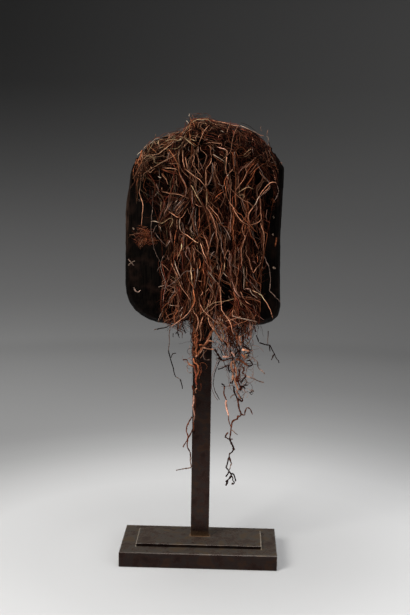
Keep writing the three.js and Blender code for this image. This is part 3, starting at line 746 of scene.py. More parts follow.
drawnRoots = dict(
    crown="""
    1.3 tan -38,572 -40,568 -43,565 -54,556 -62,553 -69,552 -73,550 -77,546 / 0.9 orange -40,572 -43,568
    -51,560 / 1 pale -74,564 -64,573 -58,574 / 0.8 brown -58,574 -54,572 -42,576 / 0.9 brown -50,576 -40,579
    -27,581 / 1 tan -58,570 -58,567 -57,564 -55,562 -56,560 -57,558 / 0.8 tan -66,568 -64,570 -62,568 -62,565
    / 0.8 orange -70,566 -68,562 -62,558 -59,557 / 0.7 brown -66,564 -63,562 -60,562 -58,564 / 0.8 pale
    -82,557 -84,555 -86,552 / 0.7 tan -79,560 -74,566 / 0.8 orange -72,561 -70,558 -67,556 -63,555 / 0.8 tan
    -61,550 -65,551 -76,546 / 0.8 tan -76,542 -70,533 -74,529 -77,519 / 0.8 tan -70,533 -68,531 -66,531
    -61,536 / 1.5 tan -78,557 -78,552 -77,542 -80,521 / 1 tan -80,521 -81,510 -81,502 -77,489 -79,463 / 1
    orange -82,551 -84,544 -82,538 -84,526 -84,520 -85,515 -85,494 / 0.6 brown -85,540 -86,537 -85,534
    -86,530 / 0.6 tan -80,538 -82,534 -81,529 -82,524 / 0.9 grey -42,558 -44,553 -46,545 / 0.7 tan -67,538
    -65,536 / 0.8 tan -66,550 -63,546 -64,542 / 0.7 brown -56,549 -54,545 -55,541 -52,538 / 1.1 tan -49,537
    -34,535 -32,534 / 1.2 pink -31,534 -29,528 -22,516 -21,510 -22,501 / 0.9 red -52,536 -47,533 -33,530 /
    0.8 tan -53,530 -51,527 -46,522 -44,516 / 1.2 pale -57,526 -53,524 / 0.7 brown -71,527 -70,524 -67,522
    -54,520 -48,516 / 0.8 brown -73,518 -65,513 -62,512 -58,507 / 1 tan -53,507 -42,505 -32,504 -17,499 / 0.8
    grey -62,500 -57,506 -55,507 / 0.8 pink -59,517 -58,512 -56,508 / 0.7 tan -52,512 -52,508 / 0.9 tan
    -31,560 -31,555 -32,551 -31,542 -30,536 / 1 tan -26,560 -26,550 -23,536 / 1.2 tan -23,536 -1,521 3,514 /
    0.8 tan -23,551 -20,539 -20,536 / 1 tan -12,553 -11,549 -13,545 -12,541 -2,528 -1,525 / 0.8 brown -6,554
    -8,546 / 0.8 grey -5,546 -3,542 1,533 / 0.7 brown -37,556 -38,551 -36,546 -37,541 / 0.7 brown -43,529
    -41,524 -38,520 -38,515 / 0.6 tan -35,528 -33,523 -34,518 -31,513 / 0.7 brown -63,528 -60,532 -57,533
    -55,530 / 1 pale -20,606 -20,602 / 1.2 pale -24,597 -20,593 / 0.7 dark -11,606 -9,606 -6,604 / 0.8 dark
    9,600 14,599 / 0.5 brown -16,605 -13,603 -10,604 -7,602 -3,602 / 0.5 dark -18,600 -15,602 -12,602 -9,603
    / 1.3 straw -18,593 -9,598 -4,597 0,598 4,598 7,596 8,594 / 1.2 tan -8,587 -7,592 -6,594 0,595 / 0.9
    straw -4,592 -1,594 4,592 / 0.9 tan 9,598 19,596 30,594 / 0.5 tan 7,592 -2,579 -5,572 -7,565 / 1 orange
    -19,601 -18,598 -13,592 -12,589 -13,587 / 0.9 tan -25,584 -23,587 -20,589 -16,589 / 0.8 tan -26,580
    -18,584 -15,586 / 0.8 brown -36,580 -27,581 -24,583 / 1.3 straw -26,576 -20,571 -10,564 / 0.9 tan -33,576
    -28,576 -25,575 / 0.9 straw -17,573 -9,571 / 0.9 tan 3,568 7,569 21,568 23,567 22,565 / 1 tan 5,566
    10,562 9,560 10,555 10,550 / 0.7 grey 10,564 15,558 / 1.1 pink 17,564 25,562 29,560 / 1 pale 20,584
    26,582 / 1.1 pink -7,565 -7,561 -6,556 / 1 brown -14,565 -13,560 -13,553 / 0.8 grey -19,564 -18,560
    -16,557 / 0.8 brown 22,589 24,590 28,590 / 0.7 brown 14,593 17,590 18,586 / 0.7 tan -10,583 -8,579
    -10,575 -9,571 / 0.8 orange -19,580 -16,577 -17,574 / 0.7 brown 6,588 9,585 12,586 14,583 / 0.7 tan
    -22,568 -24,565 -22,561 / 0.8 orange -4,586 -1,583 -2,579 1,576 / 0.7 pink 0,571 3,573 6,572 / 0.7 tan
    18,575 20,578 23,579 / 1.2 pale 46,592 62,585 68,582 / 0.9 tan 22,595 41,592 46,591 / 0.9 tan 67,582
    72,580 77,579 / 0.9 tan 32,594 30,585 29,579 / 0.9 brown 42,580 40,573 39,569 / 0.9 pale 80,579 82,577
    82,573 81,570 / 0.9 tan 82,570 85,561 84,558 / 1.9 straw 50,553 57,560 60,562 / 1.3 straw 52,552 56,554
    59,558 / 0.7 grey 61,565 62,559 63,555 / 0.7 orange 34,559 39,552 40,549 / 1.1 grey 40,560 39,555 40,549
    40,543 38,538 / 1.4 tan 38,538 33,532 31,530 / 1 tan 73,556 64,550 55,541 53,538 54,533 53,528 50,522
    41,510 / 0.9 orange 78,545 65,535 59,528 / 0.9 tan 71,548 64,539 58,531 / 0.8 orange 66,546 56,535 54,530
    / 0.9 pink 65,549 49,537 44,531 / 0.7 brown 51,539 46,535 45,532 / 0.7 brown 57,547 52,542 47,540 / 0.9
    brown 64,530 65,525 64,519 59,498 / 0.9 tan 71,535 74,530 81,522 / 1 pale 83,547 88,545 / 1.1 tan 79,560
    80,552 80,546 82,542 88,539 / 0.6 grey 62,558 64,559 64,557 63,556 / 0.8 red 91,550 93,548 97,545 / 0.7
    brown 88,553 90,549 88,546 / 0.7 tan 74,560 76,557 74,554 / 0.9 tan 88,536 90,531 92,520 / 0.8 brown
    44,574 46,570 44,566 / 0.8 red 35,586 38,583 37,578 / 0.8 brown 52,582 54,578 52,574 54,571 / 0.7 tan
    60,578 62,574 60,570 / 0.8 red 47,588 50,585 53,586 / 0.7 brown 70,576 73,572 72,568 75,565 / 0.8 brown
    64,570 67,566 65,562 68,559 / 0.7 orange 57,585 60,582 64,580 / 0.9 tan -60,572 -52,577 -43,580 -35,582
    -29,586 / 0.8 brown -55,573 -46,577 -37,580 -28,583 / 0.8 orange -49,573 -42,579 -35,579 -30,582 / 0.7
    straw -40,577 -36,582 -31,584 / 0.8 tan -47,570 -44,576 -38,578
    """,
    curtain="""
    1.3 tan 10,550 9,545 5,537 4,532 4,515 5,510 / 1.3 straw 5,510 6,495 4,490 / 1.5 pale 12,555 16,552
    20,550 28,545 / 1.2 tan 15,545 14,541 15,535 16,530 21,519 21,515 / 1 grey 11,544 12,539 11,528 7,516 /
    1.5 tan 22,562 26,561 29,559 30,556 29,534 30,530 / 1.7 pale 33,532 30,528 / 1.9 orange 30,528 27,520
    29,510 32,499 / 1.8 tan 32,499 35,494 38,490 44,479 48,474 53,470 59,467 / 1.2 tan 31,529 33,520 36,510 /
    1.3 orange 43,508 41,503 42,492 41,488 / 1.2 brown 37,509 44,506 / 1.3 straw 43,506 50,511 58,514 64,512
    / 0.9 pale 58,514 57,517 / 1.3 straw 44,504 47,504 50,505 52,504 52,501 51,500 / 1.1 grey -9,505 -1,513 /
    1.3 straw -15,516 -5,500 -1,492 / 0.8 grey 1,515 -1,512 -3,505 / 1.1 pink -14,510 -13,497 -12,492 / 0.9
    brown 6,508 12,501 13,499 / 1 orange 15,499 18,503 25,508 27,509 / 0.8 orange 14,494 18,498 22,502 / 1
    tan 26,508 29,500 / 0.8 brown 23,523 24,517 / 0.9 brown -18,512 -16,506 -17,500 / 1.3 tan 72,504 77,512
    84,520 87,521 93,520 / 1 tan 74,504 78,509 85,517 / 0.8 pink 77,504 84,512 86,515 / 1 grey 93,520 95,511
    94,505 93,501 91,498 / 1.4 tan 72,504 74,482 73,473 67,469 59,467 / 1.4 pale 72,504 68,495 65,491 / 1.4
    tan 65,491 59,482 58,478 59,473 60,469 / 1 tan 59,482 56,482 55,477 50,472 / 1.1 grey 48,502 52,493
    56,484 / 0.8 pale 65,474 65,470 / 1.8 orange 40,483 39,457 40,452 39,448 / 0.9 pink 36,480 36,472 36,464
    36,456 / 1.1 tan 52,470 51,462 52,455 54,451 52,447 52,441 / 1.1 tan 60,463 57,457 55,451 / 1.6 orange
    55,467 54,461 54,456 / 1 tan 59,466 63,459 / 0.9 grey 63,459 68,444 72,436 / 0.9 brown 62,462 59,455
    57,443 / 1.2 tan 74,469 78,453 78,433 / 0.9 pink 82,486 81,477 82,475 82,470 / 0.8 tan 73,468 74,462
    73,456 / 0.8 pink 67,494 69,487 68,480 70,474 / 0.7 brown 62,478 64,483 67,487 / 0.75 grey -64,508
    -66,461 -65,452 -63,437 -61,430 -53,415 / 1.3 pale -67,468 -62,469 -56,467 / 1.3 straw -56,467 -53,466
    -50,467 -43,472 -40,473 -38,471 -42,460 / 1 pale -56,463 -54,460 -53,456 / 1.1 tan -44,482 -34,476
    -30,475 / 0.9 tan -42,490 -44,486 -44,482 / 1.1 pink -43,503 -44,492 -48,481 -48,475 / 0.9 tan -49,495
    -48,489 -49,483 / 0.9 tan -39,496 -40,491 -43,487 / 0.9 straw -53,494 -54,487 -53,481 / 0.8 pale -32,497
    -34,494 / 0.9 grey -27,497 -35,487 -36,483 / 0.9 tan -23,495 -32,484 -34,479 / 0.9 grey -24,488 -29,482
    -32,478 / 0.8 grey -23,499 -27,494 -31,489 / 0.9 grey -61,454 -53,445 -46,437 / 0.9 grey -58,464 -62,458
    -64,454 / 0.9 grey -40,446 -45,439 -46,436 / 0.9 pink -42,460 -41,453 -38,440 / 1 orange -32,461 -35,448
    -36,441 -35,434 / 1.4 pale -29,473 -28,464 -27,460 -26,457 / 1.5 tan -26,457 -10,447 -4,444 / 0.9 tan
    -23,454 -27,453 -29,450 -29,447 -26,446 / 0.9 tan -32,473 -32,466 -31,461 / 0.9 pale -49,456 -49,454 /
    0.8 red -48,452 -46,446 -43,442 / 1.7 tan 4,490 12,478 17,465 20,446 18,428 / 1.2 orange 0,489 3,484
    14,471 / 1.4 tan 7,491 18,479 24,468 / 1.2 grey 24,468 34,454 36,448 / 1.1 orange 10,482 14,474 / 0.9 tan
    -9,492 -3,490 1,490 / 0.9 grey -8,488 -9,471 -5,452 / 0.9 brown -4,488 -3,470 -4,463 -3,457 / 0.9 grey
    -11,489 -12,483 -14,476 -18,466 / 0.8 grey -13,465 -14,461 -12,457 -8,454 / 1.1 pale -9,471 -8,466 -7,462
    / 1.2 grey 16,458 13,454 10,444 9,439 / 1 tan 2,457 2,452 5,447 8,436 7,427 / 1 grey 24,458 24,452 25,447
    25,440 28,429 / 0.9 tan 27,455 29,450 28,444 / 0.9 tan -20,485 -25,476 -28,474 -28,470 / 0.9 brown 20,488
    21,482 19,472 / 0.7 tan -21,465 -20,462 -18,460 / 0.8 brown 26,487 25,480 26,474 24,468 / 0.8 brown
    32,478 33,470 31,463 / 1.8 tan -2,444 2,433 6,424 / 1.3 brown 6,424 8,414 9,408 / 1.4 pale 9,407 16,399
    19,395 / 1.4 tan 19,395 24,387 26,363 28,357 34,348 39,339 42,326 / 1.2 grey 17,433 14,432 12,427 11,424
    / 2 orange 3,417 2,411 4,398 3,386 / 1 tan -5,395 2,394 / 1 tan 34,437 30,429 29,424 / 0.9 straw 29,419
    29,414 29,409 / 1.5 pink 33,436 37,429 37,422 36,416 38,399 / 1.5 pink 38,399 42,387 44,382 51,375 / 1.7
    pale 27,407 33,402 / 1.2 tan 33,402 35,400 / 1.3 pale 20,415 21,410 / 1 orange 21,396 25,410 26,419 / 1.1
    orange 24,427 24,421 / 1 tan 8,393 11,389 16,381 11,366 10,362 / 0.9 pale 11,392 15,387 / 0.8 grey 18,395
    14,391 12,387 / 0.8 tan 10,387 6,382 / 1.2 tan 52,441 50,436 51,424 50,419 52,415 / 1.4 pale 52,414
    53,410 54,398 54,387 55,384 / 1.4 pink 55,384 58,385 62,385 / 1.4 pale 62,385 66,378 69,376 72,373 / 1.4
    tan 62,385 77,376 85,364 91,353 93,346 / 1.2 tan 55,440 57,435 56,431 61,421 62,415 66,406 / 1.2 tan
    76,432 77,426 75,416 71,412 66,405 / 1.2 grey 66,405 66,402 71,390 71,386 / 1.3 grey 78,433 79,427 84,417
    86,411 88,398 88,386 88,381 99,370 102,366 / 0.9 brown 82,419 82,413 76,405 / 0.9 pink 35,434 35,424
    36,413 / 0.8 tan 40,409 44,402 / 0.9 tan 50,383 52,378 53,374 / 1.4 tan 52,378 53,374 56,370 64,364 / 1.2
    grey 64,364 67,363 70,356 71,348 / 1 pink 73,348 80,344 82,342 / 1.1 red 61,399 63,393 62,388 / 1.4
    orange 58,394 58,388 / 0.8 pink 64,420 69,418 / 1 orange 70,430 71,425 71,418 / 0.8 pale 77,413 79,410 /
    0.8 grey 45,439 46,433 47,427 / 1.3 orange 63,356 64,350 65,344 / 2 pink 64,348 65,345 / 1 pale 53,355
    56,352 / 1.8 straw 51,368 51,364 / 0.9 orange 41,383 43,376 44,370 / 0.8 orange 57,362 60,358 61,353 /
    0.9 brown 45,360 44,354 46,349 / 0.9 tan 42,359 40,355 41,350 43,351 / 0.9 red 48,357 49,351 51,344 / 1.2
    grey -53,415 -53,411 -51,401 -49,395 -46,388 -49,372 -50,357 -48,354 / 0.9 grey -53,412 -56,408 -58,404 /
    0.9 grey -53,416 -51,421 -49,425 / 1.1 tan -52,414 -45,408 -41,404 / 0.9 tan -42,400 -45,390 -46,385 /
    0.9 pale -47,388 -51,386 -56,384 / 0.9 tan -46,383 -42,380 -38,380 -36,379 / 1.3 pale -35,419 -32,411
    -26,398 / 1 tan -38,417 -39,414 -28,396 / 1.6 orange -34,443 -33,435 -36,423 -36,418 / 1.1 tan -31,442
    -31,432 -31,426 -31,421 / 1 straw -26,442 -26,436 -30,425 / 1.3 pink -18,440 -21,428 -18,424 / 1.1 pink
    -17,438 -15,432 -14,427 / 0.9 pink -45,425 -43,421 -42,417 / 1.2 orange -19,408 -17,398 -11,390 -10,386 /
    1.2 straw -13,413 -13,407 -12,396 -11,390 -10,386 / 1.8 orange -10,387 -8,370 -11,361 -12,359 / 1.5 tan
    -12,359 -23,347 -38,336 / 1.2 tan -11,360 -9,355 -4,346 -4,334 -7,328 / 1.3 grey -5,412 -5,402 -8,390
    -8,386 / 1.1 tan -29,394 -25,385 -15,373 -13,369 / 1.8 red -28,387 -27,377 -28,370 / 0.9 pink -26,394
    -24,389 / 0.8 brown -40,395 -35,386 -34,382 / 0.9 grey -31,386 -32,378 / 1.2 grey -48,354 -51,350 -57,338
    / 0.8 brown -47,353 -46,347 -44,341 -42,337 -40,335 / 1.2 grey -33,384 -41,369 -42,365 -43,362 / 1.1 pale
    -42,361 -34,362 / 1 tan -34,362 -30,361 -27,362 / 0.8 brown -36,378 -35,371 -34,364 / 1 grey -22,361
    -25,358 -28,354 / 1.2 orange -31,360 -31,354 -34,350 -34,342 -33,338 / 1 pale -24,353 -27,346 / 1.2
    orange -28,350 -26,345 -27,341 / 1.6 tan -5,380 -3,375 -1,365 3,358 16,346 23,338 26,331 / 0.9 tan -2,376
    1,378 2,382 / 0.9 tan 18,372 13,365 / 0.8 tan 18,371 19,367 19,362 / 0.9 tan 15,356 13,352 / 1 pale
    22,349 24,346 / 1 pale 25,349 25,345 / 0.9 pale 27,347 28,344 / 0.9 pale 20,344 23,341 / 1.2 pink 40,389
    46,380 51,375 / 0.9 grey 35,376 38,372 40,372 / 1.4 tan 9,351 10,346 12,340 17,331 / 1.2 tan 3,350 2,344
    0,338 / 0.9 tan 9,372 10,366 8,361 / 0.8 brown 19,384 20,378 19,372 / 0.8 orange 0,363 1,357 -1,351 / 0.8
    brown -13,350 -14,345 -12,340 / 0.9 orange -3,424 -2,417 -3,410 / 0.8 tan -9,436 -10,429 -8,422 -9,416 /
    0.8 pink 12,416 13,410 12,404 / 0.8 brown 43,424 42,417 43,410 / 0.8 orange 46,418 47,410 46,402 47,394 /
    0.9 tan 57,412 58,405 56,398 / 0.8 orange 46,365 47,360 49,356 / 0.8 orange 59,376 57,371 58,366
    """,
    edge="""
    0.8 grey -40,336 -41,323 -40,316 -42,301 / 1.1 dark -42,301 -33,269 -31,266 / 0.6 grey -31,266 -26,263 /
    1.1 dark -26,263 -24,256 -23,251 / 0.8 dark -38,292 -37,296 -32,298 / 0.8 dark -30,336 -30,328 -33,323 /
    0.8 dark -36,324 -36,319 / 0.9 dark -30,333 -30,326 -28,318 / 1 dark -25,337 -23,331 -20,324 / 0.9 dark
    -57,329 -55,330 -46,332 -38,336 / 0.8 grey -61,328 -57,329 / 1.1 dark 69,336 70,332 71,328 / 1.1 dark
    72,324 74,318 75,315 / 1.2 dark 76,314 83,312 90,311 / 1.1 dark 89,311 89,307 90,303 / 0.8 grey 87,330
    87,324 87,313 / 0.9 dark 90,311 98,295 101,292 102,288 / 1.1 dark 96,299 92,292
    """,
    tail="""
    1.5 dark 54,311 62,307 65,305 / 2.2 tan 54,306 58,305 63,304 / 0.9 dark 64,303 60,301 58,300 / 1.6 straw
    59,300 61,294 / 1.4 orange 53,300 58,294 / 2 orange 46,293 55,289 62,284 / 1.1 dark 62,284 67,285 68,287
    66,290 64,292 60,291 / 2.8 pink 29,296 37,296 / 1.4 dark 23,294 27,292 31,291 35,292 38,293 42,293 / 1
    dark 38,304 40,299 42,290 / 1 dark 51,305 47,301 44,298 / 1.4 pink 40,302 43,299 44,296 / 1.6 dark 54,324
    54,318 54,314 / 1.9 tan 50,324 51,318 52,312 / 1.5 orange 46,323 47,317 46,311 / 1.2 dark 49,312 50,308 /
    0.9 dark 39,318 39,310 / 0.9 dark 32,314 34,311 / 1 dark 23,279 28,281 40,286 42,288 / 0.9 dark 36,284
    37,279 39,275 / 2 tan 41,290 40,284 43,274 42,269 43,265 / 1.8 tan 43,291 47,272 46,267 / 1.2 red 45,281
    44,278 46,275 / 1.2 brown 49,280 50,276 49,264 / 0.9 brown 56,283 57,279 55,276 60,271 / 0.9 grey 60,271
    72,267 83,263 / 1.3 dark 60,271 54,264 53,261 / 0.7 grey 64,292 68,295 74,290 / 0.8 grey 74,290 75,282
    80,278 84,274 / 1.1 dark 39,262 42,261 43,265 / 1.7 tan 43,271 47,261 50,252 / 1.8 red 48,271 47,266
    52,257 51,252 / 1 dark 51,264 50,262 / 1.4 dark 44,257 44,250 48,242 49,239 / 1.9 pink 47,251 52,242
    54,240 / 1 dark 49,249 54,242 56,240 / 1.3 dark 50,240 53,237 55,237 56,240 / 1.6 brown 49,241 51,230
    54,221 53,217 / 1.3 dark 54,222 53,217 / 1.5 brown 53,217 50,217 49,213 44,210 42,205 40,187 / 1.3 dark
    51,258 55,257 62,259 / 1.2 dark 55,257 55,256 54,253 53,251 / 1 dark 57,257 57,256 59,254 / 0.7 grey
    58,268 63,261 62,259 / 0.8 dark 64,249 66,249 68,252 / 1 grey 67,253 70,250 / 1 dark 28,260 31,258 32,256
    / 0.9 brown 32,256 32,252 32,247 35,238 / 1.5 pink 35,238 35,233 38,216 / 0.7 brown 35,233 38,212 41,203
    / 0.8 grey 46,246 42,244 40,241 / 0.9 brown 54,220 59,219 59,223 62,229 66,227 69,220 / 0.5 grey 56,241
    58,247 60,250 / 1.6 dark 40,186 42,180 46,173 / 1.2 dark 44,174 47,172 / 1.4 dark 46,173 41,167 / 1.1
    brown 41,167 40,166 38,158 / 1.4 dark 39,160 38,155 37,150 / 1.3 dark 39,162 41,161 43,153 / 0.7 grey
    43,153 42,151 40,144 / 1.2 brown 38,195 36,192 34,189 36,188 / 0.9 brown 36,188 38,186 40,187 44,186 /
    0.7 grey 41,198 43,198 46,195 50,192 / 1.4 dark 37,150 36,148 40,143 / 1.2 dark 40,143 37,137 36,135 /
    1.3 dark 40,142 43,139 42,136 36,128 / 2.1 dark 38,130 39,129 38,127 / 1.5 dark 38,127 37,124 36,123 /
    1.2 dark 43,139 45,139 47,137 49,130 49,129 / 1.2 dark 42,136 43,136 45,133 45,130 47,128 / 1.7 dark
    44,126 46,125 47,128 / 1 dark 23,286 24,289 / 0.5 dark 26,292 20,278 18,272 18,264 18,257 20,250 23,244
    26,239 / 0.8 dark 21,294 25,292 25,293 / 1.4 dark 18,305 25,295 28,292 / 1.4 tan 12,342 18,330 29,315 /
    0.9 dark 28,318 33,311 / 1.1 straw 24,341 28,330 30,319 / 1 tan 23,342 31,332 34,321 36,307 / 1.3 brown
    35,341 40,327 42,313 / 0.9 red 44,339 45,332 44,326 / 1.3 brown 57,340 58,326 57,320 / 0.9 dark 36,334
    38,329 40,325 / 1.1 dark 48,334 48,328 46,323 / 2 pink 63,343 64,328 64,322 / 0.9 brown 60,331 61,325
    60,319 / 1 tan 52,344 53,337 54,332
    """,
    postTail="""
    1 tan -2,343 -4,336 -7,329 / 1.2 tan 1,341 -1,336 0,320 -1,315 / 1.4 brown -10,331 -10,322 -9,315 -10,295
    / 1.3 orange -6,321 -4,316 -6,312 -4,307 -6,302 -4,297 / 1.3 orange -8,324 -7,318 -8,312 -6,306 -8,300 /
    1.2 red -5,331 -6,327 -4,322 / 1.7 tan 17,332 4,308 -6,294 / 1.3 orange 18,344 17,331 13,328 8,318 / 1
    orange 10,316 5,311 1,311 -2,310 / 1.3 tan 4,307 14,305 17,305 / 0.9 tan 10,316 17,315 / 0.8 grey 4,303
    4,296 5,291 9,290 12,291 / 0.9 orange 1,307 -1,303 -3,301 -2,297 / 1 brown -23,290 -18,290 -17,288 / 0.9
    tan -17,288 -13,284 -8,282 / 0.7 tan -16,284 -8,280 / 1.7 red -8,283 -7,275 -5,269 -6,263 -4,257 / 1.5
    orange -3,283 -3,273 -5,268 -5,262 / 1.2 orange -9,292 -8,287 -5,285 -3,281 / 0.8 brown -3,278 -2,278
    1,274 0,270 / 0.6 brown 1,259 2,254 0,250 -3,251 -5,252 / 0.8 tan -4,253 -6,249 -5,246 / 1.3 brown
    -10,256 -8,249 -8,242 / 1.5 pink -8,243 -8,233 -9,227 -7,216 -8,207 / 0.9 brown -6,243 -6,226 -6,217
    -7,217 / 1.1 brown -8,207 -8,199 -7,194 / 1.7 dark -7,196 -7,192 / 1.1 brown -10,214 -16,203 -17,196
    -15,184 -16,178 -15,172 -12,167 -11,160 / 0.9 grey -11,160 -11,150 -12,145 -30,141 / 1.1 brown -9,197
    -15,184 -21,173
    """,
)


def readRoutes(text):
    routes = []
    for part in text.split("/"):
        radius, colour, *bends = part.split()
        routes.append((float(radius), colour, [tuple(float(v) for v in bend.split(",")) for bend in bends]))
    return routes


drawnRoots = {piece: readRoutes(text) for piece, text in drawnRoots.items()}
mates = dict(    # thin strands beside a drawn root, where it is long enough and lies within the mat
    number=2, fromLength=11, fromTop=545, halfWidth=58, fromFoot=258,
    gap=2.3, kink=0.9, deeper=0.12, thickest=0.3,
    mix=dict(dark=2, brown=5, red=3, orange=4, tan=2.5, grey=0.3, straw=0.3))


def drawnBatches(rng, routes, depth=None, spacing=2.0, thin=0.34, level=1.75, number=mates["number"]):
    # depth is a fixed y for roots that hang free, or None for the outside of the mat
    batches = []
    for thickness, colour, corners in routes:
        length = sum(math.dist(a, b) for a, b in zip(corners, corners[1:]))
        steps = max(4, round(length / spacing))

        def bends(count, pitch, reach, axes=1):
            # offsets with a knot for every `pitch` mm of the root
            return wander(rng, count, steps, max(5, round(length / pitch)), reach, axes)

        flat = smoothRoute(corners, steps)
        middle = sum(x for x, z in corners) / len(corners)
        top = corners[0][1]
        inMat = top > mates["fromTop"] or abs(middle) < mates["halfWidth"] and top > mates["fromFoot"]
        count = 1 + (number if length > mates["fromLength"] and inMat else 0)
        kinks = bends(count, 3, 0.5, 2)
        kinks *= np.sin(np.linspace(0, math.pi, steps))[None, :, None] ** 0.5
        kinks[1:] += rng.normal(0, mates["gap"], (count - 1, 1, 2)) + bends(count - 1, 9, mates["kink"], 2)
        x, z = np.moveaxis(flat + kinks, 2, 0)
        stout = thin * min(thickness, 1.7) ** 0.7
        if depth is None:
            # both ends thin out and sink into the mat
            t = np.linspace(0, 1, steps)
            ends = np.clip(np.minimum(t, 1 - t) / 0.18, 0, 1)
            dip = bends(count, 14, 0.05)[..., 0]
            dip[1:] -= mates["deeper"]
            dip -= 0.2 * (1 - ends)
            y = np.maximum(layered(x, z, 1.03 + dip) - 0.6, laying["front"] - 1)
        else:
            # low down the roots hang in one plane and touch
            ends = np.ones(steps)
            stout *= 1.3
            y = depth + bends(count, 12, 1.6)[..., 0] * np.clip((z - 250) / 60, 0.1, 1)
        line = np.stack([x, y, z], axis=2)
        radius = taper(rng, count, steps, stout, stout, 0.75)
        radius *= np.exp(rng.normal(0, 0.12, radius.shape)) * (0.5 + 0.5 * ends)
        radius[1:] = np.minimum(radius[1:], mates["thickest"]) * rng.uniform(0.6, 1, (count - 1, 1))
        shade = paint(rng, count, steps, {colour: 1}, 0.12) * level * (0.75 + 0.25 * min(thickness, 1.4))
        shade[1:] = paint(rng, count - 1, steps, mates["mix"], 0.7) * 1.1
        # rubbed and dusty stretches come and go along a root
        shade *= np.exp(bends(count, 8, 0.5) - 0.05)
        batches.append((line, radius, toned(line, shade) if depth is None else shade, 5))
    return batches


# Flow: loose strands lie along the nearest drawn roots, as if combed with them

flow = dict(shortest=16, steepest=0.45, reach=12, gravity=-0.25)


def flowSamples():
    places, ways = [], []
    for thickness, colour, corners in drawnRoots["curtain"]:
        if math.dist(corners[0], corners[-1]) < flow["shortest"]:
            continue
        route = smoothRoute(corners, 12)
        way = np.gradient(route, axis=0)
        way /= np.linalg.norm(way, axis=1, keepdims=True)
        way *= np.where(way[:, 1:] > 0, -1, 1)
        if np.abs(way[:, 1]).mean() > flow["steepest"]:
            places.append(route)
            ways.append(way)
    return np.vstack(places), np.vstack(ways)


flowPlaces, flowWays = flowSamples()


def flowAt(x, z):
    gap = (x[:, None] - flowPlaces[None, :, 0]) ** 2 + (z[:, None] - flowPlaces[None, :, 1]) ** 2
    weight = np.exp(-gap / flow["reach"] ** 2)
    way = weight @ flowWays + np.array((0.0, flow["gravity"]))
    return way / np.linalg.norm(way, axis=1, keepdims=True)


# Partings: places where the strands draw apart and the dark wood shows: x, z and half width and height

partings = ((-20, 558, 6, 8), (-2, 556, 5, 7), (-42, 540, 7, 5), (-74, 513, 8, 10), (12, 576, 8, 5),
            (35, 564, 7, 6), (46, 558, 4, 6), (38, 531, 4, 7), (69, 525, 4, 10), (-70, 484, 9, 26),
            (-58, 490, 6, 14), (-57, 434, 9, 18), (-8, 484, 6, 8), (3, 458, 5, 14), (31, 478, 4, 8),
            (52, 470, 4, 9), (47, 452, 4, 10), (-41, 388, 5, 9), (-40, 352, 8, 10), (-21, 373, 4, 8),
            (-17, 345, 5, 6), (30, 386, 5, 9), (31, 366, 9, 15), (59, 376, 7, 12), (70, 448, 4, 18),
            (86, 470, 6, 40), (62, 500, 5, 8), (-30, 420, 4, 12), (14, 430, 4, 12), (8, 515, 5, 8))


def parted(x, z, strength=1.0):
    for middle, height, wide, tall in partings:
        across = (x - middle) / wide
        near = np.exp(-across**2 - ((z - height) / tall) ** 2)
        x = x + strength * 1.25 * wide * near * np.tanh(2.5 * across)
    return x


curtain = dict(
    # height, left edge and right edge of the hanging roots
    edges=((572, -62, 70), (556, -80, 84), (538, -86, 88), (518, -84, 89), (500, -72, 88), (484, -60, 86),
           (462, -54, 82), (436, -50, 78), (408, -49, 75), (380, -49, 74), (356, -51, 74), (338, -47, 73),
           (326, -22, 71)),
    under=dict(count=430, steps=56, locks=58, across=(-86, 174), droop=(12, 44), low=(340, 9), lowShare=0.6,
               early=(350, 480), lowest=324, layer=(0.1, 0.75),
               mix=dict(dark=4, brown=6, red=2.5, orange=1, tan=0.7)),
    eye=dict(count=110, steps=10, middle=40, spread=9, top=(498, 522), fall=52),
    over=dict(sheaves=146, each=4, steps=26, start=(350, 566), pace=(2.2, 4.6), loose=(1.2, 2.2, 4.0), slip=9,
              layer=(0.45, 1.0), foot=(338, 8),
              mix=dict(dark=1.5, brown=5, red=2.4, orange=3.4, tan=2.6, grey=0.9, pale=0.12, straw=0.3)),
    crossing=dict(count=44, steps=16, start=(350, 570), length=(14, 62), tilt=0.75, foot=330.0),
    fine=dict(count=1900, steps=8, reach=15, mix=dict(dark=3, brown=6, red=3, orange=2.5, tan=2)),
    # short stiff rootlets below the edge of the mask: where they start
    fringe=dict(count=20, reach=20, mix=dict(dark=4, brown=2, grey=1),
                places=((-34, -50, 340), (-28, -52, 340), (-20, -52, 342), (74, -50, 338), (66, -54, 338),
                        (60, -58, 336))),
)


def curtainEdges(z):
    rows = np.array(curtain["edges"], float)[::-1]
    return np.interp(z, rows[:, 0], rows[:, 1]), np.interp(z, rows[:, 0], rows[:, 2])


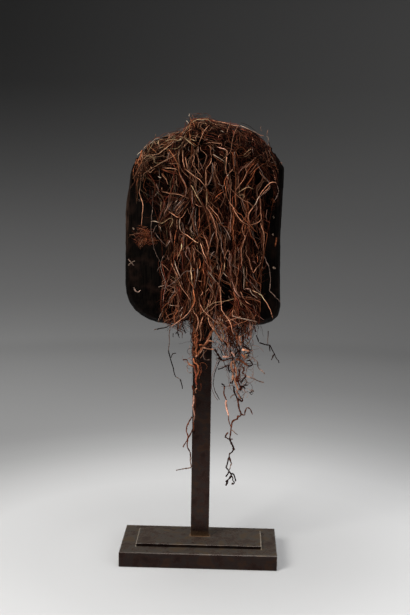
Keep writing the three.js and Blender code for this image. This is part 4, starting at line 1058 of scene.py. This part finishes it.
def underStrands(rng):
    # long dark strands next to the face, gathered in locks that drift and cross as they fall
    under = curtain["under"]
    count, steps, locks = under["count"], under["steps"], under["locks"]
    lockPlace = (np.arange(locks) + rng.uniform(0, 1, locks)) / locks
    lockDrift = wander(rng, locks, steps, 9, 0.06, 1)[..., 0]
    lock = rng.integers(0, locks, count)
    share = lockPlace[lock][:, None] + lockDrift[lock] + rng.normal(0, 0.012, count)[:, None]
    share = share + wander(rng, count, steps, 10, 0.018, 1)[..., 0]
    startX = under["across"][0] + under["across"][1] * lockPlace[lock]
    top = np.interp(startX, crownX, crownTop) - rng.uniform(*under["droop"], count)
    ends = np.where(rng.uniform(size=count) < under["lowShare"], rng.normal(*under["low"], count),
                    rng.uniform(*under["early"], count))
    t = np.linspace(0, 1, steps)[None, :]
    z = top[:, None] + (np.maximum(ends, under["lowest"]) - top)[:, None] * t
    left, right = curtainEdges(z)
    x = left + (right - left) * np.clip(share, -0.01, 1.01)
    wiggle = wander(rng, count, steps, 46, 0.9) + wander(rng, count, steps, 16, 1.2)
    layer = rng.uniform(*under["layer"], count)[:, None] + wander(rng, count, steps, 9, 0.2, 1)[..., 0]
    layer = np.clip(layer, 0.06, 1)
    x, z = parted(x + wiggle[..., 0], z), z + wiggle[..., 2]
    line = np.stack([x, layered(x, z, layer) + 0.5 * wiggle[..., 1], z], axis=2)
    # painted shade: the under strands are painted much darker, and darker still the nearer the face they lie
    shade = toned(line, paint(rng, count, steps, under["mix"], 0.75, layer)) * 0.24
    return line, taper(rng, count, steps, 0.65, 0.25, 0.5), shade, 3


def eyeCover(rng):
    # roots that hang close in front of the right eye opening, so that no light comes through it
    eye = curtain["eye"]
    count, steps = eye["count"], eye["steps"]
    x0 = rng.normal(eye["middle"], eye["spread"], count)
    t = np.linspace(0, 1, steps)[None, :]
    z = rng.uniform(*eye["top"], count)[:, None] - eye["fall"] * t
    x = x0[:, None] + rng.normal(0, 5, count)[:, None] * t + wander(rng, count, steps, 6, 1.5, 1)[..., 0]
    line = np.stack([x, layered(x, z, rng.uniform(0.1, 0.5, count)[:, None] * np.ones_like(x)), z], axis=2)
    radius = taper(rng, count, steps, 0.9, 0.5, 0.6)
    # these are painted dark like the under strands, as shade under the strands over them
    return line, radius, paint(rng, count, steps, curtain["under"]["mix"], 0.6) * 0.22, 3


def combed(rng, x0, z0, steps, pace, sway):
    # paths that follow the flow from their starts
    count = len(x0)
    heading = wander(rng, count, steps, 8, sway, 1)[..., 0] + rng.normal(0, 0.2, count)[:, None]
    x, z = np.empty((count, steps)), np.empty((count, steps))
    x[:, 0], z[:, 0] = x0, z0
    for i in range(1, steps):
        way = flowAt(x[:, i - 1], z[:, i - 1])
        c, s = np.cos(heading[:, i]), np.sin(heading[:, i])
        x[:, i] = x[:, i - 1] + pace * (way[:, 0] * c - way[:, 1] * s)
        z[:, i] = z[:, i - 1] + pace * (way[:, 0] * s + way[:, 1] * c)
    return x, z


def overStrands(rng):
    # sheaves of a few strands on the outside, lying along the thick roots
    over = curtain["over"]
    sheaves, each, steps = over["sheaves"], over["each"], over["steps"]
    z0 = rng.uniform(*over["start"], sheaves)
    left, right = curtainEdges(z0)
    x0 = left + (right - left) * rng.uniform(0.02, 0.98, sheaves)
    x, z = combed(rng, x0, z0, steps, rng.uniform(*over["pace"], sheaves), 0.45)
    x, z = np.repeat(x, each, axis=0), np.repeat(z, each, axis=0)
    count = sheaves * each
    loose = np.repeat(rng.choice(over["loose"], sheaves), each)
    x = x + (rng.normal(size=count) * loose)[:, None] + wander(rng, count, steps, 8, 1.6, 1)[..., 0]
    z = z + rng.normal(0, over["slip"], count)[:, None]
    kinks = wander(rng, count, steps, 20, 0.85, 2)
    x, z = parted(x + kinks[..., 0], z), z + kinks[..., 1]
    layer = rng.uniform(*over["layer"], count)[:, None] + wander(rng, count, steps, 7, 0.18, 1)[..., 0]
    layer = np.clip(layer, 0.2, 1.04)
    line = np.stack([x, layered(x, z, layer), z], axis=2)
    line = cutBelow(line, rng.normal(*over["foot"], count))
    left, right = curtainEdges(line[..., 2])
    line[..., 0] = np.clip(line[..., 0], left - 2, right + 2)
    # strands lying deeper in are darkened as painted shade
    shade = toned(line, paint(rng, count, steps, over["mix"], 0.65, layer)) * 0.85
    return line, taper(rng, count, steps, 0.46, 0.22, 0.5), shade, 4


def crossingStrands(rng):
    # stray strands that cross the others on the outside
    crossing = curtain["crossing"]
    count, steps = crossing["count"], crossing["steps"]
    z0 = rng.uniform(*crossing["start"], count)
    left, right = curtainEdges(z0)
    x0 = left + (right - left) * rng.uniform(0.05, 0.95, count)
    length = rng.uniform(*crossing["length"], count)
    tilt = rng.normal(0, crossing["tilt"], count)
    t = np.linspace(-0.5, 0.5, steps)[None, :]
    bend = wander(rng, count, steps, 6, 3.4, 2) + wander(rng, count, steps, 13, 0.8, 2)
    x = x0[:, None] + np.sin(tilt)[:, None] * length[:, None] * t + bend[..., 0]
    z = z0[:, None] - np.cos(tilt)[:, None] * length[:, None] * t + bend[..., 1]
    left, right = curtainEdges(z)
    x = np.clip(x, left, right)
    line = np.stack([x, layered(x, z, np.full(x.shape, 1.03)) - 0.6, z], axis=2)
    line = cutBelow(line, np.full(count, crossing["foot"]))
    shade = toned(line, paint(rng, count, steps, curtain["over"]["mix"], 0.6))
    return line, taper(rng, count, steps, 0.6, 0.25, 0.5), shade, 4


# Left fall: shoots that drop from the left shoulder, close to the edge of the mask

leftFall = dict(across=(-92, -76), top=(548, 562), slope=(-78, 0.8), end=(498, 540),
                longShare=0.06, longer=40, count=36, steps=26,
                mix=dict(tan=5, orange=3, brown=3, straw=1, pale=0.3))


def leftFallStrands(rng):
    count, steps = leftFall["count"], leftFall["steps"]
    x0 = rng.uniform(*leftFall["across"], count)
    peak, slope = leftFall["slope"]
    top = rng.uniform(*leftFall["top"], count) - slope * np.abs(x0 - peak)
    ends = rng.uniform(*leftFall["end"], count)
    ends = ends - np.where(rng.uniform(size=count) < leftFall["longShare"], leftFall["longer"], 0)
    t = np.linspace(0, 1, steps)[None, :]
    z = top[:, None] + (ends - top)[:, None] * t
    bend = wander(rng, count, steps, 7, 2.2, 2) + wander(rng, count, steps, 18, 0.7, 2)
    x = x0[:, None] + bend[..., 0] - 2 * t
    z = z + bend[..., 1]
    layer = rng.uniform(0.6, 1.05, count)[:, None] * np.ones_like(x)
    line = np.stack([x, layered(x, z, layer) - 0.5, z], axis=2)
    radius = taper(rng, count, steps, 0.7, 0.3, 0.5)
    return line, radius, paint(rng, count, steps, leftFall["mix"], 0.6) * 1.3, 4


def rootlets(rng, parents, count, steps, reach, mix, spread=(1, 0.45, 1), fall=0.5):
    # hair roots that branch off points of the strands in `parents`
    pool = np.vstack([batch[0].reshape(-1, 3) for batch in parents])
    start = pool[rng.integers(0, len(pool), count)]
    way = rng.normal(size=(count, 3)) * spread
    way[:, 2] -= fall
    way /= np.linalg.norm(way, axis=1, keepdims=True)
    length = rng.uniform(reach * 0.3, reach, count)
    t = np.linspace(0, 1, steps)[None, :, None]
    line = start[:, None, :] + way[:, None, :] * length[:, None, None] * t
    line = line + wander(rng, count, steps, max(5, steps // 2 + 3), 1.1) * t
    radius = taper(rng, count, steps, 0.3, 0.14, 0.5)
    return line, radius, toned(line, paint(rng, count, steps, mix, 0.6)) * 0.42, 3


def curls(rng, centre, spread, count, steps, pace, thick, mix):
    # springy rootlets: each one turns steadily one way, so that it makes a hook or a loop
    turn = rng.normal(0, 0.34, count)[:, None] + wander(rng, count, steps, 6, 0.25, 1)[..., 0]
    heading = rng.uniform(0, 2 * math.pi, count)[:, None] + np.cumsum(turn, axis=1)
    x = centre[0] + rng.normal(0, spread, count)[:, None] + np.cumsum(np.cos(heading) * pace, axis=1)
    z = centre[2] + rng.normal(0, spread, count)[:, None] + np.cumsum(np.sin(heading) * pace, axis=1)
    y = centre[1] + rng.normal(0, 0.5 * spread, count)[:, None] + wander(rng, count, steps, 6, 2.0, 1)[..., 0]
    line = np.stack([x, y, z], axis=2)
    return line, taper(rng, count, steps, thick, thick * 0.4, 0.5), paint(rng, count, steps, mix, 0.4), 4


# Crown: a felted mat of roots laid over the top edge, thin shoots combed over its left shoulder

matMix = dict(dark=4, brown=6, red=3.2, orange=2.6, tan=2.0, grey=0.3, pale=0.05)
crown = dict(
    reachY=38.5, reachZ=27, sides=(-96, 95), lowLeft=-70,
    # each coat: its strands, how fast and how curly they creep, where they start and how deep they lie
    coats=(
        dict(count=760, steps=18, pace=1.9, curl=2.0, across=(-92, 90), round=(-0.6, 3.2), share=(0.82, 1.0),
             mix=matMix, vary=0.9, level=0.66, radius=(0.6, 0.22, 0.6), sides=3),
        dict(count=40, steps=20, pace=2.9, curl=0.6, across=(-97, -40), round=(-0.3, 2.6), share=(0.91, 1.0),
             mix=dict(dark=1.5, brown=3.5, tan=3.5, orange=1.5, straw=4, pale=0.2, red=0.5),
             heading=(0.15, 0.35), vary=0.6, level=1, radius=(0.7, 0.28, 0.5), sides=4),
        dict(count=1450, steps=7, pace=1.5, curl=2.2, across=(-95, 94), round=(-0.7, 3.3), share=(0.9, 1.02),
             mix=matMix, vary=0.9, level=0.5, radius=(0.36, 0.18, 0.5), sides=3),
    ),
    whiskers=300,
    # springy ends along the skyline: middle, spread and number
    frizz=(((-9, -30, 601), 4.5, 20), ((-24, -30, 590), 2, 4), ((-44, -31, 573), 3.5, 9),
           ((-62, -34, 568), 3, 6), ((70, -34, 577), 3.5, 9), ((84, -36, 563), 3, 6),
           ((97, -34, 545), 1.5, 5)),
    frizzMix=dict(dark=1, brown=3, grey=1, tan=2),
    # the core under the crown's roots: how far in, its mesh, lumps and fibre, and its two near-black colours
    # of painted shade
    feltIn=4.5, feltVoxel=2.4, feltLumps=(7, 3), feltFibre=1.3, feltPaintedShadeDark="060302", feltPaintedShadeBrown="140a06",
)
# the mask's sides in the view: how far in from them, and how much what stands forward spreads, on each side
viewSides = dict(margin=2, leftSpread=0.1, rightSpread=0.045, below=572)


def onCrown(x, angle, share):
    # a point of the crown's oval section at x: angle 0 faces front, a quarter turn is the top
    axis = np.interp(x, crownX, crownTop) - crown["reachZ"]
    y = laying["crownMiddle"] - crown["reachY"] * share * np.cos(angle)
    return np.stack([x, y, axis + crown["reachZ"] * share * np.sin(angle)], axis=-1)


def crawl(rng, count, steps, pace, curl, x0, angle0, heading0, share):
    # strands that creep over the crown's surface, turning as they go
    turn = wander(rng, count, steps, max(5, steps // 3), curl, 1)[..., 0]
    turn = turn + wander(rng, count, steps, max(5, steps // 2 + 3), 0.8, 1)[..., 0]
    heading = heading0[:, None] + turn
    radius = 0.5 * (crown["reachY"] + crown["reachZ"])
    x = x0[:, None] + np.cumsum(np.cos(heading) * pace, axis=1)
    angle = angle0[:, None] + np.cumsum(np.sin(heading) * pace, axis=1) / radius
    depth = share[:, None] + wander(rng, count, steps, 8, 0.055, 1)[..., 0]
    x = parted(np.clip(x, *crown["sides"]), onCrown(x, angle, depth)[..., 2], 0.8)
    lowest = np.where(x < crown["lowLeft"], -0.2, -0.8)
    return onCrown(x, np.clip(angle, lowest, 3.4), np.clip(depth, 0.7, 1.0)), depth


def overWood(batch):
    # only the parts of strands that lie over the mask, not off its sides
    line, radius, colour, sides = batch
    x, y, z = np.moveaxis(line, 2, 0)
    left = np.interp(z, gridZ, maskLeft) + viewSides["margin"] - viewSides["leftSpread"] * y
    right = np.interp(z, gridZ, maskRight) - viewSides["margin"] + viewSides["rightSpread"] * y
    behind, top = overTop(line)
    outside = (z < viewSides["below"]) & ((x < left) | (x > right)) | behind & (z < top - 3)
    steps = line.shape[1]
    first = np.where(outside.any(axis=1), outside.argmax(axis=1), steps)
    kept = first > 3
    line = cutShort(line[kept], np.minimum(first[kept] - 1, steps - 1) / (steps - 1))
    return line, radius[kept], colour[kept], sides


def crownBatches(rng):
    batches = []
    for coat in crown["coats"]:
        count, steps = coat["count"], coat["steps"]
        x0, angle = rng.uniform(*coat["across"], count), rng.uniform(*coat["round"], count)
        lies = "heading" in coat    # combed one way, on the outside
        heading = rng.normal(*coat["heading"], count) if lies else rng.uniform(0, 2 * math.pi, count)
        line, depth = crawl(rng, count, steps, coat["pace"], coat["curl"], x0, angle, heading,
                            rng.uniform(*coat["share"], count))
        # the curly coats' inner strands are darkened as painted shade, the deeper the darker
        shade = paint(rng, count, steps, coat["mix"], coat["vary"], None if lies else (depth - 0.82) / 0.18)
        radius = taper(rng, count, steps, *coat["radius"])
        batches.append((line, radius, toned(line, shade) * coat["level"], coat["sides"]))
    whiskers = rootlets(rng, batches[:1], crown["whiskers"], 6, 8, matMix, (1, 1, 1), -0.5)
    frizz = [curls(rng, place, spread, count, 9, 0.9 if spread < 4 else 1.3, 0.3, crown["frizzMix"])
             for place, spread, count in crown["frizz"]]
    batches = [overWood(batch) for batch in batches + [whiskers] + frizz]
    for batch in batches:
        keepOff(batch[0], 0.6)
    return batches


def paintedShadeFeltCore():
    # the imported inside of the crown, a near-black core of painted shade, seen only as darkness between the
    # roots
    mesh = appliedCopy(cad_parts["root_crown"], "crownPaintedShadeFelt", crown["feltVoxel"])
    points, normals = readMesh(mesh)
    coarse, fine = crown["feltLumps"]
    lumps = 1.5 * valueNoise(points, coarse, 31) + 0.8 * valueNoise(points, fine, 32)
    points -= normals * (crown["feltIn"] - lumps)[:, None]
    # the ends stay inside the mask's sides in the view
    x, y, z = points.T
    inside = viewSides["margin"] + 1
    left = np.interp(z, gridZ, maskLeft) + inside - viewSides["leftSpread"] * y
    right = np.interp(z, gridZ, maskRight) - inside + viewSides["rightSpread"] * y
    points[:, 0] = np.where(z < viewSides["below"] + 3, np.clip(x, left, right), x)
    writeMesh(mesh, points)
    material, tree = newMaterial("paintedShadeFeltFibre")
    place = addNode(tree, "TexCoord").outputs["Object"]
    fibre = addNode(tree, "TexNoise", {"Vector": place, "Scale": grainOf(crown["feltFibre"]),
                                       "Detail": 5.0, "Roughness": 0.7, "Distortion": 1.5})
    # near-black colours: painted shade between the roots
    tint = addNode(tree, "ValToRGB", {"Fac": fibre}, [(0.4, crown["feltPaintedShadeDark"]), (0.65, crown["feltPaintedShadeBrown"])])
    relief = addNode(tree, "Bump", {"Height": fibre, "Strength": 0.8, "Distance": 0.8 * mm})
    finish = addNode(tree, "BsdfPrincipled", {"Base Color": tint, "Roughness": 0.9,
                                              "Specular IOR Level": 0.02, "Normal": relief})
    addNode(tree, "OutputMaterial", {"Surface": finish})
    return mesh, material


def keepInBox(batches):
    # no strand stands outside the room that the solids take
    low, high = (np.array(corner) / mm for corner in cadBox)
    for line, radius, colour, sides in batches:
        np.clip(line, low + 0.8, high - 0.8, out=line)
    return batches


# Tails: what hangs below the mask, in front of the post

tails = dict(
    main=dict(
        name="tailRoots", node="root_tail", count=120, steps=44, hairs=(260, 7, 9), drawn="tail",
        hang=dict(depth=-66, spacing=1.6, thin=0.76, level=1.08, number=1),
        path=((44, -60, 352), (44, -60, 326), (45, -60, 308), (46, -60, 296), (45, -60, 282), (46, -60, 258),
              (49, -60, 238)),
        halfWidth=(28, 25, 21, 17, 9, 6, 3), halfDepth=(12, 12, 11, 10, 8, 6, 4),
        # clumps of springy rootlets: middle, spread and number
        clumps=(((62, -62, 300), 3.5, 5), ((60, -62, 287), 4, 6), ((56, -62, 276), 3.5, 5),
                ((60, -62, 263), 3.5, 6), ((56, -62, 254), 2.5, 4), ((27, -62, 322), 4, 6),
                ((31, -62, 306), 4, 7), ((38, -62, 297), 5, 9), ((49, -62, 298), 5, 9),
                ((47, -62, 268), 2.5, 4), ((66, -62, 250), 2.5, 3), ((64, -58, 318), 4, 4),
                ((22, -62, 312), 5, 8), ((50, -62, 288), 6, 10), ((62, -62, 310), 4, 6),
                ((50, -62, 262), 4, 7))),
    post=dict(
        name="postTailRoots", node="root_post_tail", count=56, steps=36, hairs=(120, 7, 8), drawn="postTail",
        hang=dict(depth=-63, spacing=1.6, thin=0.74, level=1.1, number=1),
        path=((-4, -56, 352), (-5, -56, 322), (-5, -56, 306), (-6, -56, 294), (-7, -56, 276), (-8, -56, 240)),
        halfWidth=(11, 8, 7, 5, 3, 1.5), halfDepth=(9, 8, 7, 6, 4, 2),
        clumps=(((-9, -58, 310), 3, 6), ((-10, -58, 286), 4, 8), ((-5, -58, 272), 3, 6),
                ((2, -58, 312), 3, 5))),
    mix=dict(dark=7, brown=5, red=1.2, orange=2.6, tan=2.6, straw=0.8, pale=0.1),
    curl=(14, 1.5, 0.42),    # steps, pace and thickness of the springy rootlets
)


def tailStrands(rng, tail):
    count, steps = tail["count"], tail["steps"]
    path = smoothRoute(tail["path"], steps)
    way = np.linspace(0, 1, len(tail["path"]))
    t = np.linspace(0, 1, steps)
    wide = np.interp(t, way, tail["halfWidth"])
    deep = np.interp(t, way, tail["halfDepth"])
    angle = rng.uniform(0, 2 * math.pi, count)[:, None] + wander(rng, count, steps, 9, 1.5, 1)[..., 0]
    out = np.sqrt(rng.uniform(0, 1, count))[:, None] + wander(rng, count, steps, 9, 0.25, 1)[..., 0]
    out = np.clip(out, 0, 1.1)
    line = np.stack([path[:, 0] + wide * out * np.cos(angle), path[:, 1] + deep * out * np.sin(angle),
                     path[:, 2] * np.ones((count, 1))], axis=2)
    line += wander(rng, count, steps, 26, 1.2) + wander(rng, count, steps, 10, 1.8)
    line = cutShort(line, np.clip(rng.beta(1.1, 2.1, count), 0.12, 1))
    radius = taper(rng, count, steps, 0.85, 0.3, 0.5)
    return line, radius, paint(rng, count, steps, tails["mix"], 0.9) * 1.1, 4


def spikes(rng, fringe):
    # short stiff rootlets that fan out
    count, steps = fringe["count"], 9
    starts = np.array(fringe["places"], float)
    start = starts[rng.integers(0, len(starts), count)] + rng.normal(0, (4, 1, 1.5), (count, 3))
    angle = rng.normal(0, 0.75, count)
    length = rng.uniform(0.3, 1, count) * fringe["reach"]
    t = np.linspace(0, 1, steps)[None, :, None]
    way = np.stack([np.sin(angle), 0.1 * rng.normal(size=count), -np.cos(angle)], axis=1)
    line = start[:, None, :] + way[:, None, :] * length[:, None, None] * t
    line = line + wander(rng, count, steps, 7, 1.2) * t
    return line, taper(rng, count, steps, 0.36, 0.2, 0.5), paint(rng, count, steps, fringe["mix"]), 4


# Tuft: a burr of short reddish roots on the left cheek

tuft = dict(place=(-74, 447), halfWidth=20, halfHeight=14, thickness=8, count=300, steps=7,
            mix=dict(red=2, orange=3, brown=5, tan=1.5, dark=3))


def tuftStrands(rng):
    count, steps = tuft["count"], tuft["steps"]
    angle = rng.uniform(0, 2 * math.pi, count)
    rise = np.arccos(rng.uniform(0.0, 1, count))
    reach = rng.beta(1.6, 2.2, count)[:, None] * 1.45
    t = np.linspace(0.05, 1, steps)[None, :]
    swirl = wander(rng, count, steps, 6, 0.6, 1)[..., 0]
    out = np.sin(rise)[:, None] * reach * t
    x = tuft["place"][0] + tuft["halfWidth"] * out * np.cos(angle[:, None] + swirl)
    z = tuft["place"][1] + tuft["halfHeight"] * out * np.sin(angle[:, None] + swirl)
    y = onGrid(faceFront, x, z) - 1 - tuft["thickness"] * np.cos(rise)[:, None] * reach * t
    line = np.stack([x, y, z], axis=2)
    return line, taper(rng, count, steps, 0.4, 0.18, 0.5), paint(rng, count, steps, tuft["mix"], 0.6), 3


# Ties: ends of pale bark string left in the holes along the rim, in front of the wood

stringEnds = readRoutes("""
    0.55 grey -97,417 -93,413 -89,410 / 0.5 pale -97,409 -93,413 -88,416 / 0.6 grey -89,381 -87,377 -83,375
    -80,378 / 0.9 pale -90,459 -89.5,458 -89,457 / 0.4 grey -83,496 -82,494 -81,493 / 1 orange 88,499 90,496
    93,495 / 1 pale 90,477 90.5,476 91,474.5 / 0.9 pale 90,454 90.5,453 91,452 / 1 orange 95,449 95,444
    94,438 / 1.1 pale 92,411 93.5,410 95,409
""")
flatOn = dict(
    edge=dict(depth=-60, spacing=1.8, thin=0.6, level=0.7, number=0),
    string=dict(depth=0, spacing=1.2, thin=1.0, level=0.9, number=0),
)


# Build the root pieces

def rootPiece(name, batches, slotName, *nodes):
    mesh = strandMesh(name, keepInBox(batches))
    roots = sum(len(batch[0]) for batch in batches)
    print(f"{name}: {roots} roots, {sum(len(p.vertices) - 2 for p in mesh.polygons)} triangles")
    return addPiece(name, mesh, rootFinish, slotName, *nodes)


def onFace(batches):
    # lays drawn strands straight on the wood
    for batch in batches:
        for point in batch[0][0]:
            hit = maskTree.ray_cast(Vector((point[0], laying["farFront"], point[2])), ahead)[0]
            point[1] = (hit.y if hit else -20) - 0.7
    return batches


rng = np.random.default_rng(20)
rootPiece("crownRoots", crownBatches(rng) + drawnBatches(rng, drawnRoots["crown"]), "pale_root", "root_crown")
shadeFeltMesh, shadeFeltFinish = paintedShadeFeltCore()
addPiece("crownPaintedShadeFelt", shadeFeltMesh, shadeFeltFinish, "dry_root")

rng = np.random.default_rng(21)
makers = (underStrands, overStrands, crossingStrands, leftFallStrands)
under, over, crossing, fall = [make(rng) for make in makers]
for batch in (under, over, crossing, fall):
    keepOff(batch[0], 0.5)
rootPiece("curtainUnderRoots", [under, eyeCover(rng)], "dry_root", "root_curtain")
loose = [over, crossing, overWood(fall), spikes(rng, curtain["fringe"])]
drawn = drawnBatches(rng, drawnRoots["curtain"]) + drawnBatches(rng, drawnRoots["edge"], **flatOn["edge"])
rootPiece("curtainRoots", loose + drawn, "dry_root", "root_curtain")
fine = rootlets(rng, [over, under], *curtain["fine"].values())
keepOff(fine[0], 0.4)
rootPiece("curtainHairRoots", [fine], "dry_root")

rng = np.random.default_rng(22)
for tail in (tails["main"], tails["post"]):
    bundle = tailStrands(rng, tail)
    springy = [curls(rng, *clump, *tails["curl"], tails["mix"]) for clump in tail["clumps"]]
    hairs = rootlets(rng, [bundle], *tail["hairs"], tails["mix"])
    drawn = drawnBatches(rng, drawnRoots[tail["drawn"]], **tail["hang"])
    rootPiece(tail["name"], [bundle, hairs] + springy + drawn, "dry_root", tail["node"])

rng = np.random.default_rng(23)
rootPiece("cheekTuft", [tuftStrands(rng)], "dry_root", "root_tuft")
rootPiece("rimStringEnds", onFace(drawnBatches(rng, stringEnds, **flatOn["string"])), "pale_root")
print("roots laid")
